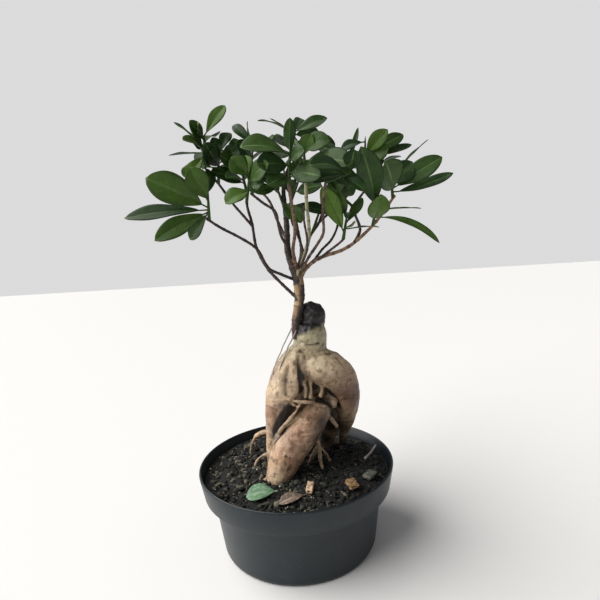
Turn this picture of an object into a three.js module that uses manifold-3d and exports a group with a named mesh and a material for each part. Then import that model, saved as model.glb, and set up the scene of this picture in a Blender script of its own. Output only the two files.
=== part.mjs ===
// A grafted ficus bonsai with swollen roots in a round nursery pot, in millimetres, +Z up.
// The origin is the middle of the pot's underside. The front view looks along +Y with +X to the right.
import * as THREE from "three";
import { mergeVertices } from "three/addons/utils/BufferGeometryUtils.js";
import Module from "manifold-3d";

// Driving dimensions of the pot.
const RIM_RADIUS = 75;
const RIM_BAND_FOOT_RADIUS = 71.9;
const BODY_TOP_RADIUS = 65.2;
const BASE_RADIUS = 59.3;
const POT_HEIGHT = 63.2;
const RIM_BAND_FOOT = 45.7;
const WALL = 1.7;
const FLOOR = 4;
const BASE_EDGE = 3;
const UNDERSIDE_CHANNEL = { inner: 26, outer: 49, depth: 2 };
const DRAIN_HOLES = { count: 6, radius: 4, circle: 37.5 };

// Driving dimensions of the soil and of the fit between pieces.
const SEAT_GAP = 0.3;
const SOIL_EDGE_HEIGHT = 55.5;
const SOIL_CROWN_HEIGHT = 61;

// Driving dimensions of a leaf, as shares of its length from the shoot to the tip.
const STALK_SHARE = 0.1;
const LEAF_ARCH_SHARE = 0.06;
const STALK_RADIUS = 0.8;
const MIDRIB_THICKNESS = 1.1;
const FOLD = 0.22;
const LEAF_WIDEST = 1.35;
const LEAF_STATIONS = [0, STALK_SHARE, 0.3, 0.55, 0.82, 1];

// A shoot's green stem: its radius at the foot and at the bud, and the part of it that carries leaves.
const SHOOT_RADII = [1.3, 0.7];
const LEAF_SPAN = [0.28, 0.93];

// Sides of the round sections, and segments of the turned ones.
const POT_SEGMENTS = 48;
const SOIL_SEGMENTS = 36;
const LIMB_SIDES = 10;
const THIN_ROOT_SIDES = 5;
const STEM_SIDES = 6;

// Colour and roughness of each finish.
const POT_PLASTIC = { color: 0x33393d, roughness: 0.55 };
const PEAT = { color: 0x2a211b, roughness: 0.95 };
const ROOT_SKIN = { color: 0xa58a70, roughness: 0.7 };
const STEM_BARK = { color: 0x6b5445, roughness: 0.8 };
const LEAF_GREEN = { color: 0x39542c, roughness: 0.4 };
const DRY_LEAF = { color: 0x5f7a52, roughness: 0.5 };
const FINE_ROOT = { color: 0x9b9186, roughness: 0.8 };
const BARK_CHIP = { color: 0x9a7a58, roughness: 0.85 };

// The ways a leaf's upper face looks.
const UP = [0, 0, 1];
const FRONT = [0, -1, 0.25];
const BACK = [0, 1, 0.5];
const LEFT = [-1, 0, 0.4];
const UP_FRONT = [0, -0.8, 0.8];
const UP_BACK = [0, 0.6, 1];
const UP_LEFT = [-0.7, -0.1, 0.9];
const UP_RIGHT = [0.7, -0.1, 0.9];
const FRONT_LEFT = [-0.8, -0.7, 0.3];
const FRONT_RIGHT = [0.8, -0.7, 0.3];

// The rootstock's limbs: each row is x, y, z and the radius there.
const ROOT_LIMBS = {
  neck: [[9, 0, 134, 14], [13, 0, 144, 14], [16, 1, 154, 12.6], [16.5, 1, 162, 12.6],
    [17.5, 2, 168, 10]],
  hip: [[14, -2, 140, 10.5], [19, -6, 138.5, 11.8], [26, -5, 136.5, 13.4], [34, -2, 129, 14.2],
    [40, 0, 117, 12.4], [43, 4, 104, 9.4], [43.5, 10, 92, 6.6], [42, 19, 77, 4.2], [39, 29, 62, 2.6],
    [37, 34, 50, 2]],
  left_lobe: [[13, 0, 150, 10], [6, -3, 142, 12], [-2, -6, 130, 13.5], [-7, -7, 116, 13.3],
    [-10.5, -7, 103, 11.3], [-14, -8, 90, 8], [-16, -9, 78, 6], [-17, -8, 62, 5], [-17, -6, 44, 4]],
  middle_ridge: [[9, -6, 151, 6], [4, -12.5, 142, 4.6], [2.5, -16, 132, 4.4], [0.5, -17, 122, 4],
    [0, -14, 113, 3]],
  front_leg: [[22, -4, 107, 8.5], [14, -13, 99, 11], [6, -17, 90, 12], [-5, -20, 78, 12],
    [-10.5, -21, 67, 11], [-14.5, -23, 57, 8.6], [-15.5, -22, 48, 6], [-16, -19, 34, 4]],
  centre_leg: [[14, 6, 138, 10], [21, 9, 122, 11], [27, 14, 107, 10.5], [31, 17, 94, 9],
    [30, 20, 80, 7.5], [26, 23, 66, 6], [22, 25, 54, 5], [20, 26, 42, 4]],
  back_leg: [[12, 8, 138, 13], [7, 12, 120, 13], [1, 15, 102, 12.5], [-7, 20, 84, 10],
    [-14, 26, 68, 7.5], [-20, 33, 52, 6], [-24, 38, 38, 4]],
};
const THIN_ROOTS = {
  across: [[-10, -17, 121, 1], [-5, -20.5, 119, 1.2], [2, -22, 117, 1.3], [9, -23, 116, 1.2],
    [16, -22, 114.5, 1]],
  groove: [[6, -22, 115.5, 1.2], [2, -21.5, 109, 1.2], [-4, -22, 102.5, 1.3], [-10, -20, 95, 1.2],
    [-15, -14, 84, 1.2]],
  knob: [[0, -18, 115, 1.5], [1.5, -20.5, 112.5, 1.9]],
  hanging_left: [[9.5, -13, 128, 1], [10, -16, 123, 1.3], [8.5, -20, 118, 1.9]],
  hanging_middle: [[14, -6, 131, 1.4], [14, -11, 126, 1.2], [14, -15, 121, 1.1], [13, -19, 117, 1.4]],
  hanging_loop: [[17, -8, 126, 1.1], [21, -9, 125, 1.2], [22.5, -11, 121, 1.3], [20.5, -14, 116, 1.2]],
  hollow_end: [[27, -4, 114, 2.2], [31, -9, 109, 2.4], [31, -9, 105, 1.6]],
  stub: [[20, -7, 101, 2.2], [27, -5, 97, 2], [33, -7, 89, 1.5]],
  left_high: [[-16, -6, 89, 2], [-23, 0, 86, 1.7], [-29, 8, 81, 1.5], [-34, 15, 73, 1.3],
    [-37, 20, 62, 1], [-38, 22, 54, 0.9]],
  left_middle: [[-16, -8, 74, 1.9], [-22, -6, 71, 1.5], [-28, -3, 67, 1.2], [-32, -1, 60, 1],
    [-33, 0, 55, 1]],
  left_low: [[-18, -23, 61, 2], [-23, -25, 60, 1.5], [-28, -27, 57, 1.2], [-30, -28, 54, 1]],
  fork: [[12, -9, 85, 2], [17, -9, 79, 1.6], [18, -9, 73, 1.3]],
  fork_left: [[17.5, -9, 76, 1.1], [13, -8, 68, 0.9], [9, -7, 61, 0.8], [8, -6, 56, 0.8]],
  fork_middle: [[18, -9, 75, 1.3], [18.5, -12, 67, 1.1], [19.5, -16, 60, 0.9], [20, -17, 55, 0.8]],
  fork_right: [[17.5, -9, 76, 1.1], [22, -7, 70, 0.9], [26, -5, 62, 0.8], [27, -4, 56, 0.8]],
};
const STUMP = { centre: [19, 4, 173.5], radii: [9.9, 9, 11.2] };

// The grafted stem and its branches: what carries each, the points of its middle line, and its
// radius at the foot and at the tip.
const STEMS = {
  scion_trunk: { on: "rootstock", radii: [3.4, 4.3],
    points: [[6, -2, 159], [6, -2, 168.5], [8, -1, 179], [10, 0, 189.5], [10, 0, 199], [9, 0, 207.5],
      [7, 0, 214.5]] },
  leader: { on: "scion_trunk", radii: [2.9, 1.3],
    points: [[9, 0, 206], [5, 0, 217], [3, 2, 227.5], [3.5, 2, 236.5], [3.5, 4, 247.5], [3, 5, 259.5],
      [3, 6, 272], [9, 9, 290.5]] },
  branch_left_front: { on: "scion_trunk", radii: [1.1, 0.9],
    points: [[10.5, 0, 202], [-2, -5, 208], [-11.5, -8, 213.5], [-19, -12, 228], [-30, -16, 236.5],
      [-42.5, -20, 244], [-52, -22, 251]] },
  branch_left_back: { on: "scion_trunk", radii: [1.2, 1],
    points: [[9.5, 0, 188], [2.5, 3, 195], [-4, 5, 202], [-11.5, 8, 210.5], [-17, 10, 220],
      [-21, 13, 230.5], [-23, 16, 248], [-26, 18, 262], [-25.5, 20, 275.5]] },
  branch_left_high: { on: "branch_left_back", radii: [1, 0.8],
    points: [[-23, 16, 246], [-29.5, 14, 254.5], [-35, 13, 261.5], [-39.5, 12, 268.5], [-44.5, 10, 276.5],
      [-50, 9, 284], [-54.5, 8, 290], [-55, 8, 295.5]] },
  branch_front_left: { on: "leader", radii: [1.1, 0.8],
    points: [[3.5, 1, 229], [-0.5, -8, 235], [-2.5, -18, 244.5], [-4, -25, 252.5], [-11.5, -32, 258],
      [-19, -38, 264]] },
  branch_front_middle: { on: "leader", radii: [1.3, 1],
    points: [[8.5, 0, 215], [7, -7, 225.5], [9, -15, 238.5], [8.5, -22, 249], [7, -32, 259],
      [6, -42, 268]] },
  branch_back_left: { on: "leader", radii: [1.1, 0.9],
    points: [[3, 2, 233.5], [-3.5, 18, 249.5], [-9.5, 36, 267], [-25, 54, 285.5]] },
  branch_back_middle: { on: "scion_trunk", radii: [1.2, 0.9],
    points: [[9, 0, 209], [13.5, 8, 224], [12.5, 20, 239.5], [10.5, 38, 256.5], [6.5, 52, 280.5]] },
  branch_back_right: { on: "scion_trunk", radii: [1.1, 0.9],
    points: [[10, 0, 207], [16.5, 6, 224.5], [21, 12, 235], [29.5, 20, 246.5], [36, 38, 265],
      [39.5, 50, 281.5]] },
  stem_pale: { on: "scion_trunk", radii: [1.3, 1.1],
    points: [[9.5, 0, 206], [15, -3, 221], [19, -5, 232.5], [19.5, -8, 243], [18.5, -12, 257],
      [18.5, -15, 272.5], [18.5, -18, 285.5]] },
  branch_front_right: { on: "scion_trunk", radii: [1.1, 0.9],
    points: [[10.5, 0, 204.5], [17.5, -5, 218.5], [24.5, -10, 228.5], [29, -14, 236], [29, -21, 248],
      [29, -32, 260], [30.5, -40, 270.5]] },
  branch_right_main: { on: "scion_trunk", radii: [1.5, 1],
    points: [[10, 0, 200], [14.5, -1, 209.5], [22, -2, 216.5], [30.5, -3, 220], [41.5, -5, 223],
      [50, -6, 227], [58.5, -8, 233.5], [68, -10, 242.5], [74, -11, 250], [82, -12, 260.5]] },
  branch_right_inner: { on: "branch_right_main", radii: [1, 0.8],
    points: [[21.5, -2, 216], [29, 4, 224.5], [37, 10, 231.5], [43, 16, 241.5], [47.5, 24, 257.5],
      [52.5, 30, 272]] },
  branch_right_low: { on: "branch_right_main", radii: [1, 0.8],
    points: [[26, -3, 218], [34, -8, 224], [39.5, -12, 228], [43.5, -15, 231.5]] },
  branch_right_fork: { on: "branch_right_main", radii: [1.1, 0.9],
    points: [[52.5, -7, 229], [57.5, -3, 237.5], [56, 5, 248.5], [55, 9, 255.5], [59.5, 12, 261],
      [67, 18, 269.5]] },
  branch_right_back: { on: "branch_back_right", radii: [1, 0.8],
    points: [[26.5, 19, 243.5], [44, 32, 258], [62, 44, 272.5], [78, 52, 284]] },
  twig_centre: { on: "scion_trunk", radii: [1, 0.8],
    points: [[10, 0, 213.5], [14.5, 5, 223.5], [12, 11, 235.5], [8, 17, 247.5], [7, 24, 258.5]] },
  twig_front: { on: "scion_trunk", radii: [0.9, 0.7],
    points: [[10.5, 0, 210.5], [17, -11, 225], [17, -18, 235], [15.5, -24, 244.5], [15.5, -30, 255]] },
};

// The leafy shoots: the stem that carries each, how far along that stem it starts, where its own tip
// is, and its leaves. A leaf row is how far along the shoot the leaf sits, the x, y and z of the
// leaf's tip, the way its upper face looks, its width, and its arch share where that differs.
const SHOOTS = {
  shoot_left_low: { on: "branch_left_front", at: 0.96, to: [-49, -23, 270], leaves: [
    [0.2, -87, -34, 278, FRONT, 20.5], [0.1, -106, -26, 254, UP_FRONT, 13, 0.03],
    [0, -82, -44, 237, FRONT, 14], [0, -66, -14, 237, FRONT, 10], [0.5, -58, -30, 284, FRONT, 16],
    [0.85, -49, -8, 286, FRONT_RIGHT, 9]] },
  shoot_left_tip: { on: "branch_left_high", at: 0.97, to: [-53, 7, 314], leaves: [
    [1, -37, 14, 336, FRONT, 10.5], [0.45, -70, -12, 319, UP, 3.4, 0.02], [0.75, -60, -8, 320, FRONT, 9],
    [0.3, -60, -4, 308, FRONT, 9], [0.15, -62, -26, 303, FRONT, 11], [0.1, -83, 20, 303, UP, 6, 0.02],
    [0.6, -50, 46, 322, UP_BACK, 15], [0.15, -62, 46, 297, UP_BACK, 15],
    [0, -66, -14, 281, UP_FRONT, 12, -0.05], [0.9, -53, -18, 315, FRONT_LEFT, 6],
    [0.3, -46, -10, 299, FRONT, 10]] },
  shoot_left_side: { on: "branch_left_high", at: 0.6, to: [-44, 12, 303], leaves: [
    [0.9, -36, 24, 319, FRONT, 9, 0.12], [1, -46, -2, 309, FRONT, 9], [0.3, -50, -14, 303, FRONT, 14],
    [0.7, -38, 48, 309, UP_BACK, 15], [0, -49, -22, 286, FRONT, 12], [0.5, -27, 2, 301, FRONT, 13]] },
  shoot_left_centre: { on: "branch_left_back", at: 0.97, to: [-30, 24, 296], leaves: [
    [0.5, -41, -4, 296, FRONT, 16], [0.9, -33, 62, 313, UP_BACK, 15], [0.2, -14, 56, 293, UP_BACK, 16],
    [0, -48, -10, 284, FRONT, 12], [0.8, -32, 10, 311, FRONT, 13], [0.1, -36, -20, 278, FRONT, 11]] },
  shoot_left_top: { on: "branch_left_back", at: 0.9, to: [-17, 10, 309], leaves: [
    [0.95, -33, 20, 323, FRONT, 8, 0.14], [1, -22, 16, 324, LEFT, 3], [0.8, -3, -16, 303, UP_FRONT, 15],
    [0.6, -28, -12, 303, FRONT, 12], [0.95, 6, 34, 314, UP, 12], [0.1, -1, -8, 291, FRONT, 15],
    [0, -10, -16, 281, FRONT, 14]] },
  shoot_front_left: { on: "branch_front_left", at: 0.97, to: [-20, -41, 275], leaves: [
    [1, -29, -46, 286, FRONT, 13], [0.6, -6, -58, 279, FRONT, 13], [0, -35, -46, 258, UP_FRONT, 13.5],
    [1, -21, -36, 289, FRONT, 9], [0.3, -9, -52, 270, FRONT, 11]] },
  shoot_front_middle: { on: "branch_front_middle", at: 0.97, to: [8, -42, 288], leaves: [
    [1, -23, -50, 291, UP_FRONT, 21, 0.1], [0.5, -13, -58, 279, FRONT, 15], [0.2, 25, -62, 269, FRONT, 15],
    [1, 9, -46, 308, BACK, 8], [0, -7, -60, 266, FRONT, 12], [0.75, 16, -56, 286, FRONT, 11]] },
  shoot_pale_tip: { on: "stem_pale", at: 0.97, to: [18, -19, 296], leaves: [
    [0, 47, -50, 278, FRONT, 17], [0.9, 35, -34, 296, FRONT_LEFT, 14, 0.14], [1, 42, -4, 299, UP, 9, 0.2],
    [0.7, 5, -2, 309, UP_LEFT, 5], [1, -3, -20, 316, UP, 3], [0, 55, -24, 268, FRONT, 14],
    [0.6, 23, -30, 301, FRONT, 11]] },
  shoot_leader_tip: { on: "leader", at: 0.97, to: [13, 11, 315], leaves: [
    [1, 37, -2, 319, FRONT, 9], [0.9, 34, 20, 313, FRONT, 13], [0.95, -14, 34, 330, UP, 4],
    [0.3, -5, 30, 313, UP_BACK, 12], [0.2, 2, 46, 302, UP_BACK, 16], [1, 21, 30, 328, FRONT, 9],
    [0.5, 45, 16, 302, UP_FRONT, 18.5, 0.14]] },
  shoot_leader_side: { on: "leader", at: 0.68, to: [-3, 3, 275], leaves: [
    [0.8, -20, -8, 270, FRONT, 10], [0, 14, -12, 245, UP_FRONT, 14], [0.5, -14, 36, 278, UP_BACK, 14],
    [1, -9, -6, 284, FRONT, 12]] },
  shoot_leader_right: { on: "leader", at: 0.62, to: [15, 14, 278], leaves: [
    [0.6, 30, -12, 270, FRONT, 13], [1, 16, -8, 291, FRONT, 15], [0.3, 5, 46, 285, UP_BACK, 15],
    [0, 35, 2, 252, UP_FRONT, 12.5]] },
  shoot_back_low: { on: "branch_back_right", at: 0.45, to: [34, 14, 265], leaves: [
    [0.9, 49, 3, 277, FRONT, 13], [0.5, 47, 30, 276, UP, 13]] },
  shoot_back_middle: { on: "branch_back_middle", at: 0.97, to: [4, 60, 297], leaves: [
    [1, -14, 86, 322, UP_BACK, 16], [0.9, 26, 86, 318, UP_BACK, 16], [0.6, -22, 68, 294, UP, 15],
    [0.5, 40, 64, 302, UP, 16], [0.2, 5, 94, 291, UP_BACK, 16]] },
  shoot_back_top: { on: "branch_back_middle", at: 0.85, to: [20, 36, 311], leaves: [
    [1, 35, 56, 320, UP, 13], [0.8, -4, 56, 320, UP_BACK, 15], [0.3, 40, 26, 292, UP, 16],
    [0.6, 30, 66, 312, UP_BACK, 16]] },
  shoot_back_right: { on: "branch_back_right", at: 0.97, to: [42, 55, 300], leaves: [
    [1, 44, 88, 322, UP_BACK, 15], [0.9, 64, 70, 312, UP, 14], [0.4, 74, 62, 292, UP, 16],
    [0.2, 45, 90, 290, UP_BACK, 16]] },
  shoot_back_left: { on: "branch_back_left", at: 0.97, to: [-33, 61, 301], leaves: [
    [1, -38, 94, 320, UP_BACK, 15], [0.9, -61, 72, 315, UP_LEFT, 14], [0.4, -54, 50, 296, UP_LEFT, 15],
    [0.2, -34, 98, 297, UP_BACK, 16], [0.7, -6, 62, 314, UP, 16]] },
  shoot_far_right: { on: "branch_right_back", at: 0.97, to: [84, 56, 297], leaves: [
    [1, 106, 76, 309, UP, 14], [0.8, 82, 92, 310, UP_BACK, 15], [0.4, 104, 50, 299, UP_RIGHT, 14],
    [0.2, 104, 88, 285, UP_BACK, 16], [0.9, 66, 86, 308, UP_BACK, 15]] },
  shoot_front_right: { on: "branch_front_right", at: 0.97, to: [46, -46, 273], leaves: [
    [0.9, 19, -62, 276, UP_FRONT, 17, 0.1], [0.7, 20, -58, 266, UP_FRONT, 12],
    [0.5, 53, -54, 260, UP_FRONT, 10], [1, 48, -50, 286, FRONT, 12]] },
  shoot_right_inner: { on: "branch_right_inner", at: 0.97, to: [55, 32, 289], leaves: [
    [1, 67, 40, 322, FRONT, 4], [0.8, 62, 74, 302, UP_BACK, 15], [0.4, 88, 26, 284, UP, 15],
    [0.5, 30, 40, 284, UP, 15], [0.9, 49, 18, 299, FRONT, 13]] },
  shoot_right_top: { on: "branch_right_fork", at: 0.97, to: [67, 12, 308], leaves: [
    [0.6, 80, -4, 308, FRONT, 12], [0.5, 101, 30, 312, FRONT, 11], [0.5, 108, 30, 304, FRONT, 6.5, 0.02],
    [0.95, 49, 22, 301, FRONT, 8, 0.18], [0.3, 53, -6, 289, FRONT, 13], [0.4, 82, 2, 298, FRONT, 14],
    [0.2, 79, 6, 290, FRONT, 14]] },
  shoot_right_tip: { on: "branch_right_main", at: 0.98, to: [79, -14, 274], leaves: [
    [0.2, 112, -26, 283, FRONT, 14, 0.03], [0, 70, -38, 280, FRONT, 22],
    [0, 124, -14, 274, UP_FRONT, 9.5, -0.06], [1, 112, 4, 302, UP, 2.5, 0.02], [0.6, 96, 28, 282, UP, 12],
    [0.4, 93, -20, 282, FRONT, 15]] },
  shoot_right_side: { on: "branch_right_main", at: 0.75, to: [66, -22, 252], leaves: [
    [0.3, 109, -26, 225, UP_FRONT, 6.5, 0.15], [1, 52, -52, 287, FRONT, 18], [0, 66, -40, 258, FRONT, 15],
    [0.9, 102, -8, 251, UP, 3, 0.02]] },
  shoot_right_low: { on: "branch_right_low", at: 0.97, to: [46, -17, 247], leaves: [
    [0, 29, -24, 268, FRONT, 13], [0.3, 51, -22, 243, FRONT_RIGHT, 6], [0.3, 73, 2, 240, UP, 3.5, 0.02],
    [1, 40, -24, 265, FRONT, 7], [0.9, 46, -26, 250, UP_FRONT, 5], [0.6, 59, -12, 260, FRONT, 7]] },
  shoot_fork_left: { on: "branch_right_fork", at: 0.6, to: [47, 13, 265], leaves: [
    [1, 26, 2, 288, UP_FRONT, 15], [0.9, 41, 30, 283, UP_BACK, 15], [0.9, 54, -4, 274, FRONT, 13]] },
};

// The aerial roots that hang from the foot of the grafted stem, and the loose things on the soil.
const AERIAL_ROOT_RADIUS = 0.5;
const AERIAL_ROOTS = {
  aerial_root_outer: [[4, -5, 170], [-3.5, -8, 157], [-8, -10, 148.5], [-13, -12, 138], [-15, -11, 128]],
  aerial_root_inner: [[6, -6, 166], [0, -9, 156], [-4, -11, 148], [-8, -14, 139], [-9, -14, 132]],
};
const FALLEN_LEAVES = {
  fallen_leaf_green: { from: [-14, -43, 60.9], tip: [-36, -45, 59.9], face: [0, -0.3, 1], width: 16 },
  fallen_leaf_brown: { from: [5, -50, 60.8], tip: [-13, -57, 59.8], face: [0.1, -0.1, 1], width: 11 },
};
const TWIG = { points: [[54, -4, 60.7], [61, 8, 59.6], [67, 19, 59.8]], radii: [1.1, 0.9] };
const CHIPS = {
  bark_chip_tan: { at: [38, -41, 61.2], size: [7, 11, 3.6], turn: 0.2 },
  bark_chip_pale: { at: [8.5, -43, 62], size: [4.4, 13, 3.4], turn: -0.15 },
  bark_chip_grey: { at: [53, -29, 60.3], size: [11, 7, 3.4], turn: 0.9 },
};

const wasm = await Module();
wasm.setup();

// A closed three.js geometry as a solid that can be joined and cut.
function solidOf(geometry) {
  const bare = geometry.clone();
  bare.deleteAttribute("normal");
  bare.deleteAttribute("uv");
  const merged = mergeVertices(bare, 1e-4);
  return new wasm.Manifold(
    new wasm.Mesh({
      numProp: 3,
      vertProperties: merged.attributes.position.array,
      triVerts: new Uint32Array(merged.index.array),
    }),
  );
}

// A solid back as a three.js geometry.
function geometryOf(solid) {
  const { vertProperties, triVerts } = solid.getMesh();
  return new THREE.BufferGeometry()
    .setAttribute("position", new THREE.BufferAttribute(vertProperties, 3))
    .setIndex(new THREE.BufferAttribute(triVerts, 1));
}

const joined = (solids) => solids.reduce((whole, next) => whole.add(next));

// What is left of a solid after a cut, without the slivers that the cut leaves beside it.
function cutBack(solid, clearance) {
  const bodies = solid.subtract(clearance).decompose();
  return bodies.reduce((largest, body) => (body.volume() > largest.volume() ? body : largest));
}

const vector = (xyz) => new THREE.Vector3(...xyz.slice(0, 3));

// A cylinder whose rings follow a curve. ring(t) gives the place, the two cross directions and the
// two half sizes of the ring at t, from 0 at the foot to 1 at the tip.
function sweep(ring, sides, steps) {
  const geometry = new THREE.CylinderGeometry(1, 1, 1, sides, steps);
  const position = geometry.attributes.position;
  const rings = Array.from({ length: steps + 1 }, (_, i) => ring(i / steps));
  for (let i = 0; i < position.count; i++) {
    const step = Math.round((position.getY(i) + 0.5) * steps);
    const { place, across, above, wide, high, fold = 0 } = rings[step];
    const x = position.getX(i);
    const lift = position.getZ(i) * high + Math.abs(x) * wide * fold;
    const moved = place.clone().addScaledVector(across, x * wide).addScaledVector(above, lift);
    position.setXYZ(i, moved.x, moved.y, moved.z);
  }
  return solidOf(geometry);
}

// The world axis that lies most square to a direction.
function squareAxis(direction) {
  const size = direction.toArray().map(Math.abs);
  const axis = size.indexOf(Math.min(...size));
  return new THREE.Vector3().setComponent(axis, 1);
}

// A point moved away from its neighbour by a length.
const drawnOut = (point, neighbour, length) =>
  point.clone().addScaledVector(point.clone().sub(neighbour).normalize(), length);

// A round limb through rows of x, y, z and radius. grow makes it that much larger all round.
function limb(rows, sides, steps, grow = 0) {
  const points = rows.map(vector);
  const last = points.length - 1;
  const square = squareAxis(points[last].clone().sub(points[0]));
  points[0] = drawnOut(points[0], points[1], grow);
  points[last] = drawnOut(points[last], points[last - 1], grow);
  const curve = new THREE.CatmullRomCurve3(points, false, "centripetal");
  const radiusAt = (t) => {
    const i = Math.min(Math.floor(t * last), last - 1);
    return THREE.MathUtils.lerp(rows[i][3], rows[i + 1][3], t * last - i) + grow;
  };
  return sweep(
    (t) => {
      const along = curve.getTangent(t);
      const across = along.clone().cross(square).normalize();
      const radius = radiusAt(t);
      const above = across.clone().cross(along);
      return { place: curve.getPoint(t), across, above, wide: radius, high: radius };
    },
    sides,
    steps,
  );
}

// Rows of x, y, z and radius for a stem whose radius runs evenly from its foot to its tip.
function stemRows({ points, radii }) {
  return points.map((point, i) => [...point, THREE.MathUtils.lerp(...radii, i / (points.length - 1))]);
}

// A leaf on its stalk: from its foot to its tip, its upper face towards `face`.
function leaf(from, tip, face, width, archShare = LEAF_ARCH_SHARE, grow = 0) {
  const reach = tip.clone().sub(from);
  const length = reach.length();
  const along = reach.clone().normalize();
  const above = face.clone().addScaledVector(along, -face.dot(along)).normalize();
  const across = along.clone().cross(above);
  const steps = LEAF_STATIONS.length - 1;
  return sweep(
    (step) => {
      const t = LEAF_STATIONS[Math.round(step * steps)];
      const blade = Math.max(t - STALK_SHARE, 0) / (1 - STALK_SHARE);
      const spread = Math.sin(Math.PI * blade ** LEAF_WIDEST) ** 0.65;
      const place = from.clone().addScaledVector(reach, t);
      place.addScaledVector(above, 4 * t * (1 - t) * archShare * length);
      return {
        place,
        across,
        above,
        wide: Math.max((spread * width) / 2, blade > 0.5 ? 0.5 : STALK_RADIUS) + grow,
        high: (blade > 0 ? MIDRIB_THICKNESS * (1 - 0.5 * blade) : 2 * STALK_RADIUS) / 2 + grow,
        fold: blade > 0 ? FOLD : 0,
      };
    },
    4,
    steps,
  );
}

// A leafy shoot: its green stem from inside the branch to its own tip, with each leaf joined on.
function shoot({ on, at, to, leaves }, grow = 0) {
  const carrier = new THREE.CatmullRomCurve3(STEMS[on].points.map(vector), false, "centripetal");
  const foot = carrier.getPoint(at);
  const tip = vector(to);
  const stem = limb([[...foot, SHOOT_RADII[0]], [...to, SHOOT_RADII[1]]], 5, 1, grow);
  const blades = leaves.map(([share, x, y, z, face, width, arch]) => {
    const node = foot.clone().lerp(tip, THREE.MathUtils.lerp(...LEAF_SPAN, share));
    return leaf(node, new THREE.Vector3(x, y, z), vector(face), width, arch, grow);
  });
  return joined([stem, ...blades]);
}

// The solid of a profile of radius and height, turned round the vertical axis.
function turned(profile, segments) {
  const lathe = new THREE.LatheGeometry(profile.map(([r, z]) => new THREE.Vector2(r, z)), segments);
  return solidOf(lathe.rotateX(Math.PI / 2));
}

// The pot: one thin moulded wall turned round the axis, with drain holes through its floor.
function pot() {
  const channel = UNDERSIDE_CHANNEL;
  const outer = [
    [0, 0], [channel.inner, 0], [channel.inner + 2, channel.depth], [channel.outer - 2, channel.depth],
    [channel.outer, 0], [BASE_RADIUS - BASE_EDGE, 0], [BASE_RADIUS - 0.7, 0.8],
    [BASE_RADIUS + 0.3, BASE_EDGE],
    [BODY_TOP_RADIUS, RIM_BAND_FOOT - 1.2], [RIM_BAND_FOOT_RADIUS, RIM_BAND_FOOT],
    [RIM_RADIUS, POT_HEIGHT - 1], [RIM_RADIUS - 0.6, POT_HEIGHT],
  ];
  const inner = [
    [RIM_RADIUS - WALL, POT_HEIGHT], [RIM_BAND_FOOT_RADIUS - WALL, RIM_BAND_FOOT + WALL],
    [BODY_TOP_RADIUS - WALL, RIM_BAND_FOOT + WALL - 1.2], [BASE_RADIUS - WALL, FLOOR + 2],
    [BASE_RADIUS - WALL - 2, FLOOR], [0, FLOOR],
  ];
  let body = turned([...outer, ...inner], POT_SEGMENTS);
  for (let i = 0; i < DRAIN_HOLES.count; i++) {
    const angle = (2 * Math.PI * i) / DRAIN_HOLES.count;
    const hole = new THREE.CylinderGeometry(DRAIN_HOLES.radius, DRAIN_HOLES.radius, 4 * FLOOR, 12);
    hole.rotateX(Math.PI / 2);
    hole.translate(DRAIN_HOLES.circle * Math.cos(angle), DRAIN_HOLES.circle * Math.sin(angle), 0);
    body = body.subtract(solidOf(hole));
  }
  return body;
}

// The soil fills the pot up to a low crown, and the roots stand in it with a gap all round.
function soil(rootClearance) {
  const gap = SEAT_GAP;
  const wall = WALL + gap;
  const filling = turned(
    [
      [0, FLOOR + gap], [BASE_RADIUS - wall - 2, FLOOR + gap], [BASE_RADIUS - wall, FLOOR + 2 + gap],
      [BODY_TOP_RADIUS - wall - 0.1, RIM_BAND_FOOT + wall - 1.2],
      [RIM_BAND_FOOT_RADIUS - wall, RIM_BAND_FOOT + wall], [RIM_RADIUS - wall - 1.8, SOIL_EDGE_HEIGHT],
      [0.75 * RIM_RADIUS, SOIL_EDGE_HEIGHT + 3.4], [0.45 * RIM_RADIUS, SOIL_CROWN_HEIGHT - 0.6],
      [0, SOIL_CROWN_HEIGHT],
    ],
    SOIL_SEGMENTS,
  );
  return filling.subtract(rootClearance);
}

// The rootstock: swollen limbs, thin roots and the cut stump, grown together.
function rootstock(grow = 0) {
  const limbs = Object.values(ROOT_LIMBS).map((rows) => limb(rows, LIMB_SIDES, 12, grow));
  const thin = Object.values(THIN_ROOTS).map((rows) => limb(rows, THIN_ROOT_SIDES, 4, grow));
  const knob = new THREE.SphereGeometry(1, 12, 8);
  knob.scale(...STUMP.radii.map((radius) => radius + grow));
  knob.translate(...STUMP.centre);
  return joined([...limbs, ...thin, solidOf(knob)]);
}

function mesh(name, solid, finish) {
  const material = new THREE.MeshStandardMaterial({ metalness: 0, ...finish });
  const made = new THREE.Mesh(geometryOf(solid), material);
  made.name = name;
  return made;
}

const bonsai = new THREE.Group();
const rootClearance = rootstock(SEAT_GAP);
bonsai.add(mesh("pot", pot(), POT_PLASTIC));
bonsai.add(mesh("soil", soil(rootClearance), PEAT));
bonsai.add(mesh("rootstock", rootstock(), ROOT_SKIN));

// Each stem is cut back by the gap from its carrier and from the stems before it.
const stem = (name, grow) =>
  limb(stemRows(STEMS[name]), STEM_SIDES, 2 * (STEMS[name].points.length - 1), grow);
let clearance = rootClearance;
for (const name of Object.keys(STEMS)) {
  bonsai.add(mesh(name, cutBack(stem(name), clearance), STEM_BARK));
  clearance = clearance.add(stem(name, SEAT_GAP));
}
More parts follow.
